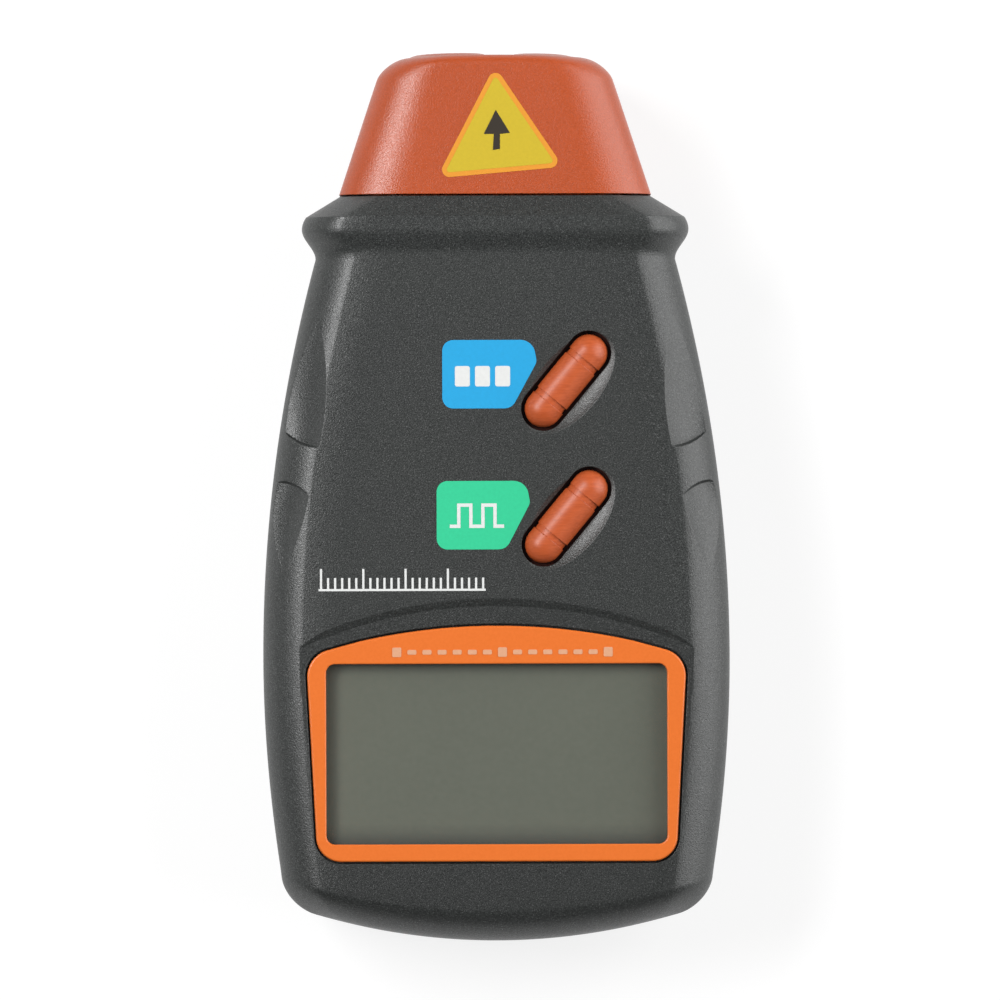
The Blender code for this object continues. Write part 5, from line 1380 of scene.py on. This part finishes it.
FINISHES = {
    "housing": housing_plastic(),
    "nose": moulded("nose", NOSE_COLOUR, 0.35, tone=0.12, relief=1.0, specks=0.1, shine=0.62),
    "button": key_plastic(),
    "bezel": smooth("bezel", 2600.0, (0.74, 0.160, 0.022), (0.77, 0.172, 0.026), 0.33, 0.03, 0.0001),
    "window": clear_plastic("window", 0.05, 0.06, (0.50, 0.54, 0.51)),
    "lcd": display_glass(),
    "light_plastic": moulded("light_plastic", (0.62, 0.62, 0.58), 0.5, tone=0.04, edge=0.0),
    "contact_rubber": strip_rubber(),
    "dark_plastic": moulded("dark_plastic", (0.020, 0.020, 0.021), 0.45, tone=0.2, edge=0.0),
    "circuit_board": board_finish(),
    "steel": metal("steel", (0.58, 0.58, 0.60), 0.28),
    "sleeve": printed("sleeve", (0.03, 0.05, 0.22)),
    "dark_lens": moulded("dark_lens", (0.010, 0.008, 0.012), 0.10, tone=0.1, relief=0.02, edge=0.0),
    "lens": clear_plastic("lens", 0.35, 0.04, (0.55, 0.62, 0.68)),
    "brass": metal("brass", (0.72, 0.52, 0.22), 0.30),
    "battery_can": battery_jacket(),
    "red_insulation": moulded("red_insulation", (0.55, 0.015, 0.015), 0.45, tone=0.06, edge=0.0),
    "black_insulation": moulded("black_insulation", (0.014, 0.014, 0.015), 0.45, tone=0.2, edge=0.0),
}
FILMS = {
    "white": printed("white_print", (0.74, 0.75, 0.74)),
    "blue": printed("blue_print", (0.014, 0.36, 0.70)),
    "green": printed("green_print", (0.030, 0.58, 0.29)),
    "yellow": printed("yellow_print", (0.57, 0.42, 0.018)),
    "amber": printed("amber_print", (0.74, 0.29, 0.022)),
    "ink": printed("dark_print", (0.028, 0.020, 0.012)),
    "pale": printed("pale_print", (0.70, 0.36, 0.21)),
}


# Scene

def stand_in(obj, node, body, slot):
    """A piece that stands for a CAD node."""
    obj.data.materials.clear()
    obj.data.materials.append(FINISHES[slot])
    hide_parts(node)
    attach(obj, body)


def print_on(skin, name, outlines, kind, layer=0):
    """Printed films on the skin of a piece of the case, in one of the layers above each other."""
    obj = film(name, outlines, skin, *LAYERS[layer])
    obj.data.materials.append(FILMS[kind])
    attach(obj, "case")


make_camera()
make_stage()
for node, obj in NODES.items():
    obj.data.materials.clear()
    obj.data.materials.append(FINISHES[SLOTS[node]])

front = make_front_housing()
stand_in(front, "front_housing", "case", "housing")
stand_in(make_back_housing(), "back_housing", "case", "housing")
nose = make_nose_cap()
stand_in(nose, "nose_cap", "case", "nose")
border = make_border()
stand_in(border, "display_border", "case", "bezel")
stand_in(make_battery_door(), "battery_door", "door", "housing")
stand_in(make_receiver_lens(), "receiver_lens", "case", "lens")
for number, (x, y) in enumerate(SCREW_PLACES, 1):
    stand_in(make_case_screw(number, x, y), f"case_screw_{number}", "case", "steel")
for node, (x, y) in BUTTON_PLACES.items():
    stand_in(make_button(node, x, y), node, node.replace("button", "key"), "button")

face, nose_skin, border_skin = [skin_of(obj) for obj in (front, nose, border)]

# Labels beside the buttons, with plain signs for stored readings and for a measurement
print_on(face, "memory_label", [pad_outline(443, 537, 341, 409, 512)], "blue")
print_on(face, "test_label", [pad_outline(437, 530, 481, 549, 506)], "green")
squares = [rectangle(*pixel(x, 377), *SQUARE_SIGN, 4) for x in (463, 483, 503)]
print_on(face, "memory_sign", squares, "white", 1)
pulse = [(450, 526)]
for rise, fall in ((459, 471), (483, 495)):
    pulse += [(rise, 526), (rise, 505), (fall, 505), (fall, 526)]
pulse.append((504, 526))
line = stroke([pixel(x, y) for x, y in pulse], PULSE_WIDTH)
print_on(face, "test_sign", [line], "white", 1)

# Plain scale on the face and ticks on the border
ticks = []
for i in range(24):
    tall = 20 if i % 6 == 0 else 11
    ticks.append(rectangle(*pixel(322 + i * 7.0, 588 - tall / 2), TICK_HALF_WIDTH, tall * PIXEL / 2))
ticks.append(rectangle(*pixel(402.5, 589), 83 * PIXEL, TICK_HALF_WIDTH))
print_on(face, "face_scale", ticks, "white")
dashes = []
for i in range(15):
    half_high = 0.00035 if i % 7 else 0.0007
    dashes.append(rectangle(*pixel(397 + i * 15, 651), 4.5 * PIXEL, half_high, 0.0002, 4))
print_on(border_skin, "border_ticks", dashes, "pale")

# Sticker on the nose: a plain arrow along the beam
rim = rounded([(*pixel(x, y), STICKER_RADIUS) for x, y in ((438, 180), (564, 169), (496, 68))], 8)
print_on(nose_skin, "nose_sticker", [rim], "amber")
print_on(nose_skin, "sticker_field", [grown(rim, -STICKER_RIM)], "yellow", 1)
arrow = [(501, 151), (501, 136), (511, 135), (497, 112), (485, 136), (495, 136), (494, 152)]
print_on(nose_skin, "sticker_arrow", [[pixel(x, y) for x, y in arrow]], "ink", 2)
